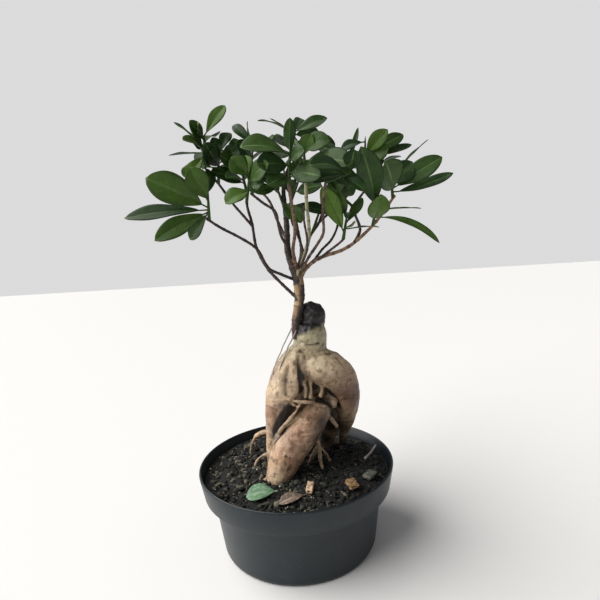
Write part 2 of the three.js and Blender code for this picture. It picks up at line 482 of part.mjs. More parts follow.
// A shoot is cut back from every stem and from the shoots before it.
for (const [name, made] of Object.entries(SHOOTS)) {
  bonsai.add(mesh(name, cutBack(shoot(made), clearance), LEAF_GREEN));
  clearance = clearance.add(shoot(made, SEAT_GAP));
}
for (const [name, points] of Object.entries(AERIAL_ROOTS)) {
  const rows = points.map((point) => [...point, AERIAL_ROOT_RADIUS]);
  bonsai.add(mesh(name, cutBack(limb(rows, 4, 6), clearance), FINE_ROOT));
}

for (const [name, { from, tip, face, width }] of Object.entries(FALLEN_LEAVES)) {
  bonsai.add(mesh(name, leaf(vector(from), vector(tip), vector(face), width), DRY_LEAF));
}
bonsai.add(mesh("twig_on_soil", limb(stemRows(TWIG), 5, 4), STEM_BARK));
for (const [name, { at, size, turn }] of Object.entries(CHIPS)) {
  const chip = new THREE.SphereGeometry(0.5, 7, 4);
  chip.scale(...size);
  chip.rotateZ(turn);
  chip.translate(...at);
  bonsai.add(mesh(name, solidOf(chip), BARK_CHIP));
}

export default bonsai;
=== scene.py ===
import math
import random

import bmesh
import bpy
from mathutils import Matrix, Vector, kdtree, noise


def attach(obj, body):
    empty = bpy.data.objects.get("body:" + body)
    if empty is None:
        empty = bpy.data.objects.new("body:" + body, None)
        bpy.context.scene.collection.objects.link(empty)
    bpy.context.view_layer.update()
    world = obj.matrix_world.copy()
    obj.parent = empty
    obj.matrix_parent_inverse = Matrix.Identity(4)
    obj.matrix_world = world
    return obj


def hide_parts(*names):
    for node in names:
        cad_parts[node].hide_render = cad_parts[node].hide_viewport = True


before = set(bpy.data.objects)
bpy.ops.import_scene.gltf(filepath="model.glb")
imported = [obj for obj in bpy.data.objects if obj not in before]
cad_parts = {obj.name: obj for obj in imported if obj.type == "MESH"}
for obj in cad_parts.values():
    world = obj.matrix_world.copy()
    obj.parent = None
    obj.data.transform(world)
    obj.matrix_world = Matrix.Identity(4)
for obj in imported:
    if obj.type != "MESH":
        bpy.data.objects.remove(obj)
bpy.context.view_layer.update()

# Camera. It stands in front of the plant at the height of its first branches and looks along +Y,
# a little down. All sizes in this file are in millimetres, and MM turns them into metres.
MM = 0.001
CAMERA_PLACE = (0, -338, 227)
CAMERA_LENS = 27
SENSOR_WIDTH = 36
CAMERA_PITCH, CAMERA_YAW, CAMERA_ROLL = math.radians(6.6), math.radians(1.73), math.radians(-3.3)

camera = bpy.data.objects.new("camera", bpy.data.cameras.new("camera"))
camera.data.lens = CAMERA_LENS
camera.data.sensor_width = SENSOR_WIDTH
upright = Matrix.Rotation(math.radians(90) - CAMERA_PITCH, 4, "X")
turn = Matrix.Rotation(-CAMERA_YAW, 4, "Z") @ upright @ Matrix.Rotation(CAMERA_ROLL, 4, "Z")
camera.matrix_world = Matrix.Translation(Vector(CAMERA_PLACE) * MM) @ turn
bpy.context.scene.collection.objects.link(camera)
bpy.context.scene.camera = camera


# Floor and light. A plain pale table top, a pale room round it, and soft light from a wide window
# at the left, which throws a soft shadow to the right.
FLOOR_SIZE = 6000
FLOOR_COLOUR = "#e4e4e4"
ROOM_COLOUR = "#f3f2f3"
ROOM_STRENGTH = 0.27
ROOM_STRENGTH_IN_VIEW = 0.8
WINDOW_DIRECTION = (-0.84, -0.05, 0.66)
WINDOW_ANGLE = math.radians(80)
WINDOW_STRENGTH = 5.3
WINDOW_COLOUR = "#fffdf9"


def linear(hex_colour):
    """A colour written as sRGB hex, as the linear RGBA that a socket takes."""
    channels = [int(hex_colour[i:i + 2], 16) / 255 for i in (1, 3, 5)]
    return [c / 12.92 if c <= 0.04045 else ((c + 0.055) / 1.055) ** 2.4 for c in channels] + [1]


def add_node(owner, kind, inputs=None, **settings):
    """Add a node with its settings. Each input is a value, or a node or an output to link it from."""
    node = owner.node_tree.nodes.new("ShaderNode" + kind)
    for name, value in settings.items():
        setattr(node, name, value)
    for name, value in (inputs or {}).items():
        if isinstance(value, bpy.types.Node):
            value = value.outputs[0]
        if isinstance(value, bpy.types.NodeSocket):
            owner.node_tree.links.new(value, node.inputs[name])
        else:
            node.inputs[name].default_value = value
    return node


def new_material(name):
    """A material with an empty node tree."""
    material = bpy.data.materials.new(name)
    material.use_nodes = True
    material.node_tree.nodes.clear()
    return material


def mesh_of(bm, name):
    """The mesh made in bm, which is freed."""
    mesh = bpy.data.meshes.new(name)
    bm.to_mesh(mesh)
    bm.free()
    return mesh


# Painted wood: matt and even, with no grain to see.
table_top = new_material("matt_white_table_top")
shader = add_node(table_top, "BsdfPrincipled", {"Base Color": linear(FLOOR_COLOUR), "Roughness": 0.75})
add_node(table_top, "OutputMaterial", {"Surface": shader})
floor_mesh = bmesh.new()
bmesh.ops.create_grid(floor_mesh, x_segments=1, y_segments=1, size=FLOOR_SIZE / 2 * MM)
floor = bpy.data.objects.new("table_top", mesh_of(floor_mesh, "table_top"))
floor.data.materials.append(table_top)
bpy.context.scene.collection.objects.link(floor)

room = bpy.data.worlds.new("pale_room")
room.use_nodes = True
room.node_tree.nodes.clear()
lit = add_node(room, "Background", {"Color": linear(ROOM_COLOUR), "Strength": ROOM_STRENGTH})
seen = add_node(room, "Background", {"Color": linear(ROOM_COLOUR), "Strength": ROOM_STRENGTH_IN_VIEW})
sight = add_node(room, "LightPath").outputs["Is Camera Ray"]
add_node(room, "OutputWorld", {"Surface": add_node(room, "MixShader", {0: sight, 1: lit, 2: seen})})
bpy.context.scene.world = room
bpy.context.scene.view_settings.view_transform = "Standard"

window = bpy.data.objects.new("window_light", bpy.data.lights.new("window_light", "SUN"))
window.data.angle = WINDOW_ANGLE
window.data.energy = WINDOW_STRENGTH
window.data.color = linear(WINDOW_COLOUR)[:3]
window.rotation_euler = Vector(WINDOW_DIRECTION).to_track_quat("Z", "Y").to_euler()
bpy.context.scene.collection.objects.link(window)


# Pot. A round nursery pot of thin dark grey polypropylene, injection moulded in one piece, with a
# stepped rim band, a raised ring under its floor and drain holes. It carries everything else.
RIM_RADIUS = 75
RIM_BAND_FOOT_RADIUS = 71.9
BODY_TOP_RADIUS = 65.2
BASE_RADIUS = 59.3
POT_HEIGHT = 63.2
RIM_BAND_FOOT = 45.7
WALL = 1.7
FLOOR = 4
BASE_EDGE = 3
BASE_FLARE, BASE_LIP = 0.3, 0.7
RIM_LIP = 0.6
EDGE_DROP = 0.8
STEP_RISE = 1.2
INNER_CORNER = 2
CHANNEL_INNER, CHANNEL_OUTER, CHANNEL_DEPTH = 26, 49, 2
DRAIN_HOLE_COUNT, DRAIN_HOLE_RADIUS, DRAIN_HOLE_CIRCLE, DRAIN_HOLE_SIDES = 6, 4, 37.5, 24
CORNER_ROUND = 0.6
POT_STEPS = 160
MERGE_DISTANCE = 0.001
POT_COLOUR, POT_DUST_COLOUR = "#0a171e", "#333a3d"
POT_IOR = 1.49


def turned(profile, steps, corner=0.0):
    """A profile of radius and height that starts and ends on the pot's axis, turned round that axis
    into a closed shape. Its corners are rounded when corner has a radius."""
    bm = bmesh.new()
    points = [bm.verts.new((radius, 0, height)) for radius, height in profile]
    for start, end in zip(points, points[1:]):
        bm.edges.new((start, end))
    if corner:
        bmesh.ops.bevel(bm, geom=points[1:-1], offset=corner, segments=3, profile=0.5,
                        affect="VERTICES", material=-1)
    bmesh.ops.spin(bm, geom=bm.verts[:] + bm.edges[:], angle=2 * math.pi, steps=steps,
                   axis=(0, 0, 1), cent=(0, 0, 0), use_merge=True)
    bmesh.ops.remove_doubles(bm, verts=bm.verts, dist=MERGE_DISTANCE)
    bmesh.ops.recalc_face_normals(bm, faces=bm.faces)
    return bm


def with_modifiers(mesh, *modifiers):
    """A mesh after modifiers, each given as its kind and its settings."""
    holder = bpy.data.objects.new("holder", mesh)
    bpy.context.scene.collection.objects.link(holder)
    for kind, settings in modifiers:
        modifier = holder.modifiers.new(kind.lower(), kind)
        for name, value in settings.items():
            setattr(modifier, name, value)
    shaped = holder.evaluated_get(bpy.context.evaluated_depsgraph_get())
    result = bpy.data.meshes.new_from_object(shaped)
    bpy.data.objects.remove(holder)
    return result


def add_piece(name, mesh, material, replaced):
    """A mesh in millimetres as a piece in metres that rides on the plant's one body."""
    mesh.transform(Matrix.Scale(MM, 4))
    mesh.materials.clear()
    mesh.materials.append(material)
    mesh.shade_smooth()
    piece = bpy.data.objects.new(name, mesh)
    bpy.context.scene.collection.objects.link(piece)
    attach(piece, "root")
    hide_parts(*replaced)


pot_profile = [
    (0, 0), (CHANNEL_INNER, 0), (CHANNEL_INNER + CHANNEL_DEPTH, CHANNEL_DEPTH),
    (CHANNEL_OUTER - CHANNEL_DEPTH, CHANNEL_DEPTH), (CHANNEL_OUTER, 0), (BASE_RADIUS - BASE_EDGE, 0),
    (BASE_RADIUS - BASE_LIP, EDGE_DROP), (BASE_RADIUS + BASE_FLARE, BASE_EDGE),
    (BODY_TOP_RADIUS, RIM_BAND_FOOT - STEP_RISE), (RIM_BAND_FOOT_RADIUS, RIM_BAND_FOOT),
    (RIM_RADIUS, POT_HEIGHT - EDGE_DROP), (RIM_RADIUS - RIM_LIP, POT_HEIGHT),
    (RIM_RADIUS - WALL, POT_HEIGHT), (RIM_BAND_FOOT_RADIUS - WALL, RIM_BAND_FOOT + WALL),
    (BODY_TOP_RADIUS - WALL, RIM_BAND_FOOT + WALL - STEP_RISE),
    (BASE_RADIUS - WALL, FLOOR + INNER_CORNER), (BASE_RADIUS - WALL - INNER_CORNER, FLOOR), (0, FLOOR),
]
pot_mesh = mesh_of(turned(pot_profile, POT_STEPS, CORNER_ROUND), "pot")
holes = bmesh.new()
for i in range(DRAIN_HOLE_COUNT):
    angle = 2 * math.pi * i / DRAIN_HOLE_COUNT
    place = Vector((math.cos(angle), math.sin(angle), 0)) * DRAIN_HOLE_CIRCLE
    bmesh.ops.create_cone(holes, cap_ends=True, segments=DRAIN_HOLE_SIDES, radius1=DRAIN_HOLE_RADIUS,
                          radius2=DRAIN_HOLE_RADIUS, depth=4 * FLOOR, matrix=Matrix.Translation(place))
drill = bpy.data.objects.new("drill", mesh_of(holes, "drill"))
cut = {"object": drill, "operation": "DIFFERENCE", "solver": "EXACT"}
pot_mesh = with_modifiers(pot_mesh, ("BOOLEAN", cut))
bpy.data.objects.remove(drill)

# Moulded polypropylene: a dull even sheen, a fine grain from the mould, drawn coarser than it is so
# that it shows, and peat dust in patches and specks.
moulded_pp = new_material("moulded_dark_grey_polypropylene")
place = add_node(moulded_pp, "TexCoord").outputs["Object"]
dust = add_node(moulded_pp, "TexNoise", {
    "Vector": place, "Scale": 1 / (14 * MM), "Detail": 6, "Roughness": 0.7})
speck = add_node(moulded_pp, "TexNoise", {"Vector": place, "Scale": 1 / (1.6 * MM), "Detail": 2})
dusty = add_node(moulded_pp, "MapRange", {"Value": dust, "From Min": 0.5, "From Max": 0.75, "To Max": 0.3})
specks = add_node(moulded_pp, "MapRange", {
    "Value": speck, "From Min": 0.66, "From Max": 0.74, "To Max": 0.5})
cover = add_node(moulded_pp, "Math", {0: dusty, 1: specks}, operation="MAXIMUM")
colour = add_node(moulded_pp, "MixRGB", {
    "Fac": cover, "Color1": linear(POT_COLOUR), "Color2": linear(POT_DUST_COLOUR)})
sheen = add_node(moulded_pp, "MapRange", {"Value": dust, "To Min": 0.34, "To Max": 0.48})
texture = add_node(moulded_pp, "Bump", {"Height": speck, "Strength": 0.25, "Distance": 0.1 * MM})
shader = add_node(moulded_pp, "BsdfPrincipled", {
    "Base Color": colour, "Roughness": sheen, "IOR": POT_IOR, "Specular IOR Level": 0.45,
    "Normal": texture})
add_node(moulded_pp, "OutputMaterial", {"Surface": shader})
add_piece("moulded_pot", pot_mesh, moulded_pp, ["pot"])


# Soil. Coarse dark peat with bark fines, fibres and a little perlite, filled in round the roots to
# a low crown. A thick block with a crumbled top, and loose crumbs, strands and grains lying on it.
SEAT_GAP = 0.3
SOIL_EDGE_GAP = 1.8
SOIL_EDGE_RADIUS = RIM_RADIUS - WALL - SEAT_GAP - SOIL_EDGE_GAP
SOIL_HEIGHTS = [(0, 61), (0.45 * RIM_RADIUS, 60.4), (0.75 * RIM_RADIUS, 58.9), (SOIL_EDGE_RADIUS, 55.5)]
SOIL_RING = 1.1
SOIL_STEPS = 240
SOIL_SINK = 0.6
STEP_CLEARANCE = 0.1
HAIR = 0.01
# The lumps of the soil's top: how high they swing and how wide they are.
SOIL_LUMPS = [(1.8, 9), (1.2, 3.1), (0.7, 1.3)]
CRUMB_COUNT = 2500
CRUMB_SIZES = (1.3, 6.8)
SMALL_CRUMB_BIAS = 2.4
CRUMB_WIDTHS, CRUMB_HEIGHTS = (0.5, 0.9), (0.45, 0.8)
CRUMB_LIFTS, CRUMB_SINK = (-0.4, 0.9), 0.16
CRUMB_TILT = 0.6
CRUMB_ROUGHNESS, CRUMB_LUMPS = 0.9, 4
PERLITE_SIZE = 1.8
BARK_STRETCH = 1.4
ANY_TURN = 6.3
STRAND_COUNT = 90
STRAND_RADIUS = 0.17
STRAND_CLEARANCE, STRAND_POINTS = 4, 6
STRAND_BENDS, STRAND_STEPS = (-0.5, 0.5), (0.6, 1.6)
STRAND_LIFT, STRAND_WAVE = 0.7, 0.5
# Tones along the colour ramp: peat from black to brown, then bark and strands, then perlite.
BARK_TONE, STRAND_TONE, PERLITE_TONE = 0.72, 0.84, 0.98
WET_TONES, DRY_TONES, BARK_TONES = (0, 0.36), (0.58, 0.74), (0.6, BARK_TONE)
BLOCK_TONE, BLOCK_TONE_SWING, BLOCK_TONE_SIZE = 0.08, 0.3, 2.2
WET_SHARE, BARK_SHARE, PERLITE_SHARE = 0.74, 0.07, 0.012
PEAT_COLOURS = [(0, "#080808"), (0.3, "#121210"), (0.6, "#3d3f34"), (BARK_TONE, "#696556"),
                (STRAND_TONE, "#766d5e"), (PERLITE_TONE, "#c9c6be")]
# Painted shade: the soil is painted darker behind the front root, where the plant's own shadow falls.
SHADED_SOIL_PLACE, SHADED_SOIL_RADIUS, SHADED_SOIL_SHARE = Vector((28, 2)), 36, 0.75

soil_dice = random.Random(11)


def bell(distance, width):
    """One in the middle and falling away to nothing within about two widths."""
    return math.exp(-(distance / width) ** 2)


def relief(co, layers):
    """How far layers of lumps lift a place. Each swings by a height and has a width, or three."""
    total = 0
    for height, *widths in layers:
        wide, deep, high = widths if len(widths) == 3 else widths * 3
        total += height * noise.noise(Vector((co.x / wide, co.y / deep, co.z / high)))
    return total


def soil_height(radius):
    """The height of the soil's even top at a distance from the pot's axis."""
    for (near, high), (far, low) in zip(SOIL_HEIGHTS, SOIL_HEIGHTS[1:]):
        if radius <= far:
            return high + (low - high) * (radius - near) / (far - near)
    return SOIL_HEIGHTS[-1][1]


def tubes(paths, detail=2):
    """Round tubes with closed ends, each through rows of x, y, z and radius."""
    curve = bpy.data.curves.new("tubes", "CURVE")
    curve.dimensions = "3D"
    curve.bevel_depth = 1
    curve.bevel_resolution = detail
    curve.use_fill_caps = True
    for rows in paths:
        spline = curve.splines.new("POLY")
        spline.points.add(len(rows) - 1)
        for point, (x, y, z, radius) in zip(spline.points, rows):
            point.co = (x, y, z, 1)
            point.radius = radius
    holder = bpy.data.objects.new("tubes", curve)
    bpy.context.scene.collection.objects.link(holder)
    shaped = holder.evaluated_get(bpy.context.evaluated_depsgraph_get())
    bm = bmesh.new()
    bm.from_mesh(bpy.data.meshes.new_from_object(shaped))
    bpy.data.objects.remove(holder)
    bmesh.ops.remove_doubles(bm, verts=bm.verts, dist=MERGE_DISTANCE)
    bmesh.ops.recalc_face_normals(bm, faces=bm.faces)
    return bm


def add_attribute(bm, name, value):
    """A number for every point of bm, the same or from a function of the point."""
    layer = bm.verts.layers.float.new(name)
    for vert in bm.verts:
        vert[layer] = value(vert) if callable(value) else value


def joined(parts, name):
    """Several bmeshes as one mesh, each kept as it is."""
    whole = bmesh.new()
    for part in parts:
        mesh = mesh_of(part, name)
        whole.from_mesh(mesh)
        bpy.data.meshes.remove(mesh)
    return mesh_of(whole, name)


def block_tone(vert):
    """The tone of the soil block: near black, with browner patches."""
    return BLOCK_TONE + BLOCK_TONE_SWING * max(0, noise.noise(vert.co / BLOCK_TONE_SIZE))


inner = WALL + SEAT_GAP
ring_count = round(SOIL_EDGE_RADIUS / SOIL_RING)
soil_profile = [
    (0, FLOOR + SEAT_GAP), (BASE_RADIUS - inner - INNER_CORNER, FLOOR + SEAT_GAP),
    (BASE_RADIUS - inner, FLOOR + INNER_CORNER + SEAT_GAP),
    (BODY_TOP_RADIUS - inner - STEP_CLEARANCE, RIM_BAND_FOOT + inner - STEP_RISE),
    (RIM_BAND_FOOT_RADIUS - inner, RIM_BAND_FOOT + inner),
]
for i in range(ring_count, -1, -1):
    radius = SOIL_EDGE_RADIUS * i / ring_count
    soil_profile.append((radius, soil_height(radius)))
soil = turned(soil_profile, SOIL_STEPS)
for vert in soil.verts:
    on_top = vert.co.z > SOIL_HEIGHTS[-1][1] - HAIR
    if on_top and vert.co.xy.length < SOIL_EDGE_RADIUS - 10 * HAIR:
        vert.co.z += relief(vert.co, SOIL_LUMPS) - SOIL_SINK
add_attribute(soil, "tone", block_tone)


def place_on_soil(clear):
    """A random place on the soil's even top, at least clear from its edge, and its height."""
    radius = (SOIL_EDGE_RADIUS - clear) * math.sqrt(soil_dice.random())
    angle = soil_dice.uniform(0, 2 * math.pi)
    return Vector((radius * math.cos(angle), radius * math.sin(angle), soil_height(radius)))


def crumb():
    """One broken crumb of peat, bark or perlite, half sunk in the top of the soil."""
    bm = bmesh.new()
    bmesh.ops.create_icosphere(bm, subdivisions=1, radius=0.5)
    smallest, largest = CRUMB_SIZES
    size = smallest + (largest - smallest) * soil_dice.random() ** SMALL_CRUMB_BIAS
    kind = soil_dice.random()
    tone = soil_dice.uniform(*(WET_TONES if soil_dice.random() < WET_SHARE else DRY_TONES))
    width, height = soil_dice.uniform(*CRUMB_WIDTHS), soil_dice.uniform(*CRUMB_HEIGHTS)
    stretch = Vector((size, size * width, size * height))
    if kind < PERLITE_SHARE:
        tone = PERLITE_TONE
        stretch *= PERLITE_SIZE / size
    elif kind < PERLITE_SHARE + BARK_SHARE:
        tone = soil_dice.uniform(*BARK_TONES)
        stretch.x *= BARK_STRETCH
    place = place_on_soil(stretch.x)
    place.z += soil_dice.uniform(*CRUMB_LIFTS) - CRUMB_SINK * size
    # Painted shade: crumbs behind the front root are darkened where the plant's shadow falls.
    tone *= 1 - SHADED_SOIL_SHARE * bell((place.xy - SHADED_SOIL_PLACE).length, SHADED_SOIL_RADIUS)
    turn = Matrix.Rotation(soil_dice.uniform(0, ANY_TURN), 4, "Z")
    turn @= Matrix.Rotation(soil_dice.uniform(-CRUMB_TILT, CRUMB_TILT), 4, "X")
    for vert in bm.verts:
        uneven = 1 + CRUMB_ROUGHNESS * noise.noise(vert.co * CRUMB_LUMPS + place)
        vert.co = turn @ (vert.co * uneven * stretch) + place
    add_attribute(bm, "tone", tone)
    return bm


def strand():
    """One limp fibre that lies over the crumbs, as rows of x, y, z and radius."""
    place = place_on_soil(STRAND_CLEARANCE)
    heading = soil_dice.uniform(0, ANY_TURN)
    bend = soil_dice.uniform(*STRAND_BENDS)
    step = soil_dice.uniform(*STRAND_STEPS)
    rows = []
    for i in range(STRAND_POINTS):
        lift = STRAND_LIFT + STRAND_WAVE * math.sin(i + heading)
        rows.append((place.x, place.y, soil_height(place.xy.length) + lift, STRAND_RADIUS))
        heading += bend
        place += Vector((math.cos(heading), math.sin(heading), 0)) * step
    return rows


def set_ramp(ramp, stops):
    """Give a colour ramp its stops, each a position and a hex colour."""
    for position, _ in stops[1:-1]:
        ramp.elements.new(position)
    for element, (position, hex_colour) in zip(ramp.elements, stops):
        element.position = position
        element.color = linear(hex_colour)


crumbs = [crumb() for _ in range(CRUMB_COUNT)]
strands = tubes([strand() for _ in range(STRAND_COUNT)], detail=0)
add_attribute(strands, "tone", STRAND_TONE)

# Damp peat: almost black and fully matt, with paler bark, fibre and perlite among the crumbs.
damp_peat = new_material("damp_peat_soil")
tone = add_node(damp_peat, "Attribute", attribute_name="tone").outputs["Fac"]
place = add_node(damp_peat, "TexCoord").outputs["Object"]
grit = add_node(damp_peat, "TexNoise", {"Vector": place, "Scale": 1 / (0.9 * MM), "Detail": 4})
shift = add_node(damp_peat, "MapRange", {"Value": grit, "To Min": -0.14, "To Max": 0.14})
stop = add_node(damp_peat, "Math", {0: tone, 1: shift}, operation="ADD")
colour = add_node(damp_peat, "ValToRGB", {"Fac": stop})
set_ramp(colour.color_ramp, PEAT_COLOURS)
texture = add_node(damp_peat, "Bump", {"Height": grit, "Strength": 0.6, "Distance": 0.4 * MM})
shader = add_node(damp_peat, "BsdfPrincipled", {
    "Base Color": colour, "Roughness": 0.92, "Normal": texture})
add_node(damp_peat, "OutputMaterial", {"Surface": shader})
add_piece("peat_soil", joined([soil, *crumbs, strands], "peat_soil"), damp_peat, ["soil"])


# Rootstock. The swollen roots of a seedling fig, grown thick and grey beige below ground and then
# lifted out, with the sawn stump of its own crown on top. One living piece with a thin smooth bark.
ROOT_LIMBS = {
    "neck": [(9, 0, 134, 14), (13, 0, 144, 14), (16, 1, 154, 12.6), (16.5, 1, 162, 12.6),
             (17.5, 2, 168, 10)],
    "hip": [(14, -2, 140, 10.5), (19, -6, 138.5, 11.8), (26, -5, 136.5, 13.4), (34, -2, 129, 14.2),
            (40, 0, 117, 12.4), (43, 4, 104, 9.4), (43.5, 10, 92, 6.6), (42, 19, 77, 4.2),
            (39, 29, 62, 2.6), (37, 34, 50, 2)],
    "left_lobe": [(13, 0, 150, 10), (6, -3, 142, 12), (-2, -6, 130, 13.5), (-7, -7, 116, 13.3),
                  (-10.5, -7, 103, 11.3), (-14, -8, 90, 8), (-16, -9, 78, 6), (-17, -8, 62, 5),
                  (-17, -6, 44, 4)],
    "middle_ridge": [(9, -6, 151, 6), (4, -12.5, 142, 4.6), (2.5, -16, 132, 4.4), (0.5, -17, 122, 4),
                     (0, -14, 113, 3)],
    "front_leg": [(22, -4, 107, 8.5), (14, -13, 99, 11), (6, -17, 90, 12), (-5, -20, 78, 12),
                  (-10.5, -21, 67, 11), (-14.5, -23, 57, 8.6), (-15.5, -22, 48, 6), (-16, -19, 34, 4)],
    "centre_leg": [(14, 6, 138, 10), (21, 9, 122, 11), (27, 14, 107, 10.5), (31, 17, 94, 9),
                   (30, 20, 80, 7.5), (26, 23, 66, 6), (22, 25, 54, 5), (20, 26, 42, 4)],
    "back_leg": [(12, 8, 138, 13), (7, 12, 120, 13), (1, 15, 102, 12.5), (-7, 20, 84, 10),
                 (-14, 26, 68, 7.5), (-20, 33, 52, 6), (-24, 38, 38, 4)],
}
THIN_ROOTS = {
    "across": [(-10, -17, 121, 1), (-5, -20.5, 119, 1.2), (2, -22, 117, 1.3), (9, -23, 116, 1.2),
               (16, -22, 114.5, 1)],
    "groove": [(6, -22, 115.5, 1.1), (2, -21.5, 109, 1), (-4, -22, 102.5, 1), (-10, -20, 95, 1),
               (-15, -14, 84, 1.1)],
    "knob": [(0, -18, 115, 1.5), (1.5, -20.5, 112.5, 1.9)],
    "hanging_left": [(9.5, -13, 128, 1), (10, -16, 123, 1.3), (8.5, -20, 118, 1.9)],
    "hanging_middle": [(14, -6, 131, 1.4), (14, -11, 126, 1.2), (14, -15, 121, 1.1),
                       (13, -19, 117, 1.4)],
    "hanging_loop": [(17, -8, 126, 1.1), (21, -9, 125, 1.2), (22.5, -11, 121, 1.3),
                     (20.5, -14, 116, 1.2)],
    "hollow_end": [(27, -4, 114, 2.2), (31, -9, 109, 2.4), (31, -9, 105, 1.6)],
    "stub": [(20, -7, 101, 2.2), (27, -5, 97, 2), (33, -7, 89, 1.5)],
    "left_high": [(-16, -6, 89, 2), (-23, 0, 86, 1.7), (-29, 8, 81, 1.5), (-34, 15, 73, 1.3),
                  (-37, 20, 62, 1), (-38, 22, 54, 0.9)],
    "left_middle": [(-16, -8, 74, 1.9), (-22, -6, 71, 1.5), (-28, -3, 67, 1.2), (-32, -1, 60, 1),
                    (-33, 0, 55, 1)],
    "left_low": [(-18, -23, 61, 2), (-23, -25, 60, 1.5), (-28, -27, 57, 1.2), (-30, -28, 54, 1)],
    "fork": [(12, -9, 85, 2), (17, -9, 79, 1.6), (18, -9, 73, 1.3)],
    "fork_left": [(17.5, -9, 76, 1.1), (13, -8, 68, 0.9), (9, -7, 61, 0.8), (8, -6, 56, 0.8)],
    "fork_middle": [(18, -9, 75, 1.3), (18.5, -12, 67, 1.1), (19.5, -16, 60, 0.9), (20, -17, 55, 0.8)],
    "fork_right": [(17.5, -9, 76, 1.1), (22, -7, 70, 0.9), (26, -5, 62, 0.8), (27, -4, 56, 0.8)],
}
# The hollow between the roots: it opens under the hip and runs down beside the front leg.
HOLLOWS = {
    "under_hip": [(6.5, -17, 144, 0.8), (7.5, -18, 137, 1.6), (8.5, -17, 130, 2.4), (10, -16, 123, 3.2),
                  (15, -15, 119.5, 5), (22, -13, 117, 4.4), (28, -9, 112, 3.4), (31.5, -7, 105, 3),
                  (31, -5, 96, 3.4), (31, 0, 86, 5), (30, 2, 76, 6)],
    "beside_leg": [(2, -20.5, 114.5, 2), (-1.5, -21.5, 109, 3.8), (-7.5, -21.5, 101.5, 3.8),
                   (-11.5, -19.5, 94.5, 3.2), (-14.5, -18, 87, 2)],
}
STUMP_CENTRE, STUMP_RADII, STUMP_STEPS = Vector((19, 4, 173.5)), (9.9, 9, 11.2), (32, 20)
# The stump's dark wood starts above a slanting line, given by a place on it and its slope.
STUMP_EDGE_X, STUMP_EDGE_Z, STUMP_EDGE_SLOPE, STUMP_EDGE_BLEND = 14, 163, 0.35, 3
ROOT_VOXEL = 0.8
ROOT_STATIONS = 30
ROOT_SMOOTHING = 9
# The skin is lifted by as much as the smoothing takes away, and then swings by these lumps.
ROOT_LIFT = 0.35
ROOT_LUMPS = [(0.9, 15), (0.45, 7), (0.4, 4.5, 4.5, 26), (0.16, 11, 11, 1.7), (0.16, 2.3)]
STUMP_LUMPS = [(0.55, 2.3), (1.3, 5)]
LINE_STEP = 0.5

# Creases in the bark: half width, depth, and the points that each one runs through.
CREASES = [
    (1.6, 0.9, [(-2, -17, 140), (-4, -19, 131), (-5, -19, 122)]),
    (1.9, 2.4, [(6.5, -16, 148), (7, -17, 140), (8, -19, 130), (8, -20, 122), (4, -19, 116)]),
    (1.5, 1.6, [(8, -13, 152), (14, -16, 151), (22, -16, 149.5), (30, -10, 148)]),
    (0.8, 1.0, [(4, -10, 155), (8, -11, 155)]),
    (0.8, 1.1, [(12, -11.5, 155.5), (18, -12, 155.5), (22, -10, 156)]),
    (0.9, 0.5, [(10, -11, 163), (17, -11, 163.5), (24, -8, 165)]),
    (1.6, 1.0, [(-14, -16, 112), (-12, -18, 100), (-13, -18, 92)]),
]
# Healed scars and knots: the place, the radius, how far the rim stands up and how deep it sinks.
SCARS = [
    ((3, -29, 97.5), 2.2, 0.4, 1.2), ((-1, -30, 92), 1.6, 0.3, 0.7), ((15, -24, 108.5), 2.2, 0.3, 0.7),
    ((-7, -31, 80), 1.6, 0.3, 0.5), ((-6, -31, 70), 1.4, 0.3, 0.5), ((-12, -29, 60), 1.5, 0.3, 0.7),
    ((36, -12, 122), 1.6, 0.3, 0.5), ((-12, 32, 96), 3, 0.8, 1.4), ((14, 24, 122), 2.6, 0.7, 1.2),
    ((41, 12, 118), 2.4, 0.6, 1.0), ((-20, -2, 118), 2.2, 0.6, 0.9),
]
# How wide a scar's rim, its pit and its dark middle are, as shares of its radius.
SCAR_RIM, SCAR_PIT, SCAR_MARK, SCAR_REACH = 0.5, 0.6, 0.75, 3
# Where a thin new bark shows pink through the beige: the place and the radius of each patch.
PINK_PATCHES = [
    ((8, -12, 152), 3), ((11, -24, 103), 10), ((2, -27, 92), 11), ((-7, -28, 78), 11),
    ((-12, -27, 64), 9), ((-19, -13, 106), 10), ((42, -10, 116), 11), ((-11, 18, 112), 9),
    ((30, 12, 128), 8),
]
# Where the bark is painted pale: dry bark, and a painted highlight on the lit top of the hip. The place and
# the radius of each patch.
DRY_AND_LIT_PATCHES = [
    ((20, -17, 142), 9), ((-12, -18, 126), 5), ((-14, -30, 64), 6), ((30, -15, 137), 6),
    ((4, -20, 134), 4), ((-16, 8, 122), 10), ((20, 20, 132), 9),
]
# Painted shade: the bark is painted dark brown on the roots' sides away from the window and where roots
# shade each other. The place and radius of each patch, and how dark it is.
SHADE_PATCHES = [
    ((42, 16, 84), 11, 0.8), ((39, 30, 66), 9, 0.9), ((27, -8, 104), 7, 0.8), ((22, -22, 98), 10, 1),
    ((18, -20, 88), 10, 1), ((12, -19, 77), 8, 0.9), ((3, -20, 66), 8, 0.8), ((48, -10, 113), 15, 0.8),
    ((36, -16, 119), 11, 0.75), ((31, -17, 128), 8, 0.4), ((-16, -15, 100), 9, 0.3),
    ((38, -14, 128), 9, 0.45), ((0, -30, 88), 9, 0.35), ((-8, -22, 106), 7, 0.3),
]
# Painted shade, with some clinging soil, in the deep places between the roots: the place and the radius of
# each patch.
SHADED_AND_SOILED_PATCHES = [
    ((29, 12, 100), 13), ((29, 12, 84), 14), ((17, -2, 122), 8), ((31, -4, 106), 5), ((22, 14, 70), 14),
    ((28, 8, 92), 9), ((-1, -15, 111), 6), ((-6, -15, 103), 5.5), ((-11, -14, 95), 4.5),
    ((-15, -13, 88), 4),
]
# Painted shade in a crease: darker the deeper it is, up to a most.
CREASE_SHADE, CREASE_SHADE_MOST = 0.4, 0.7
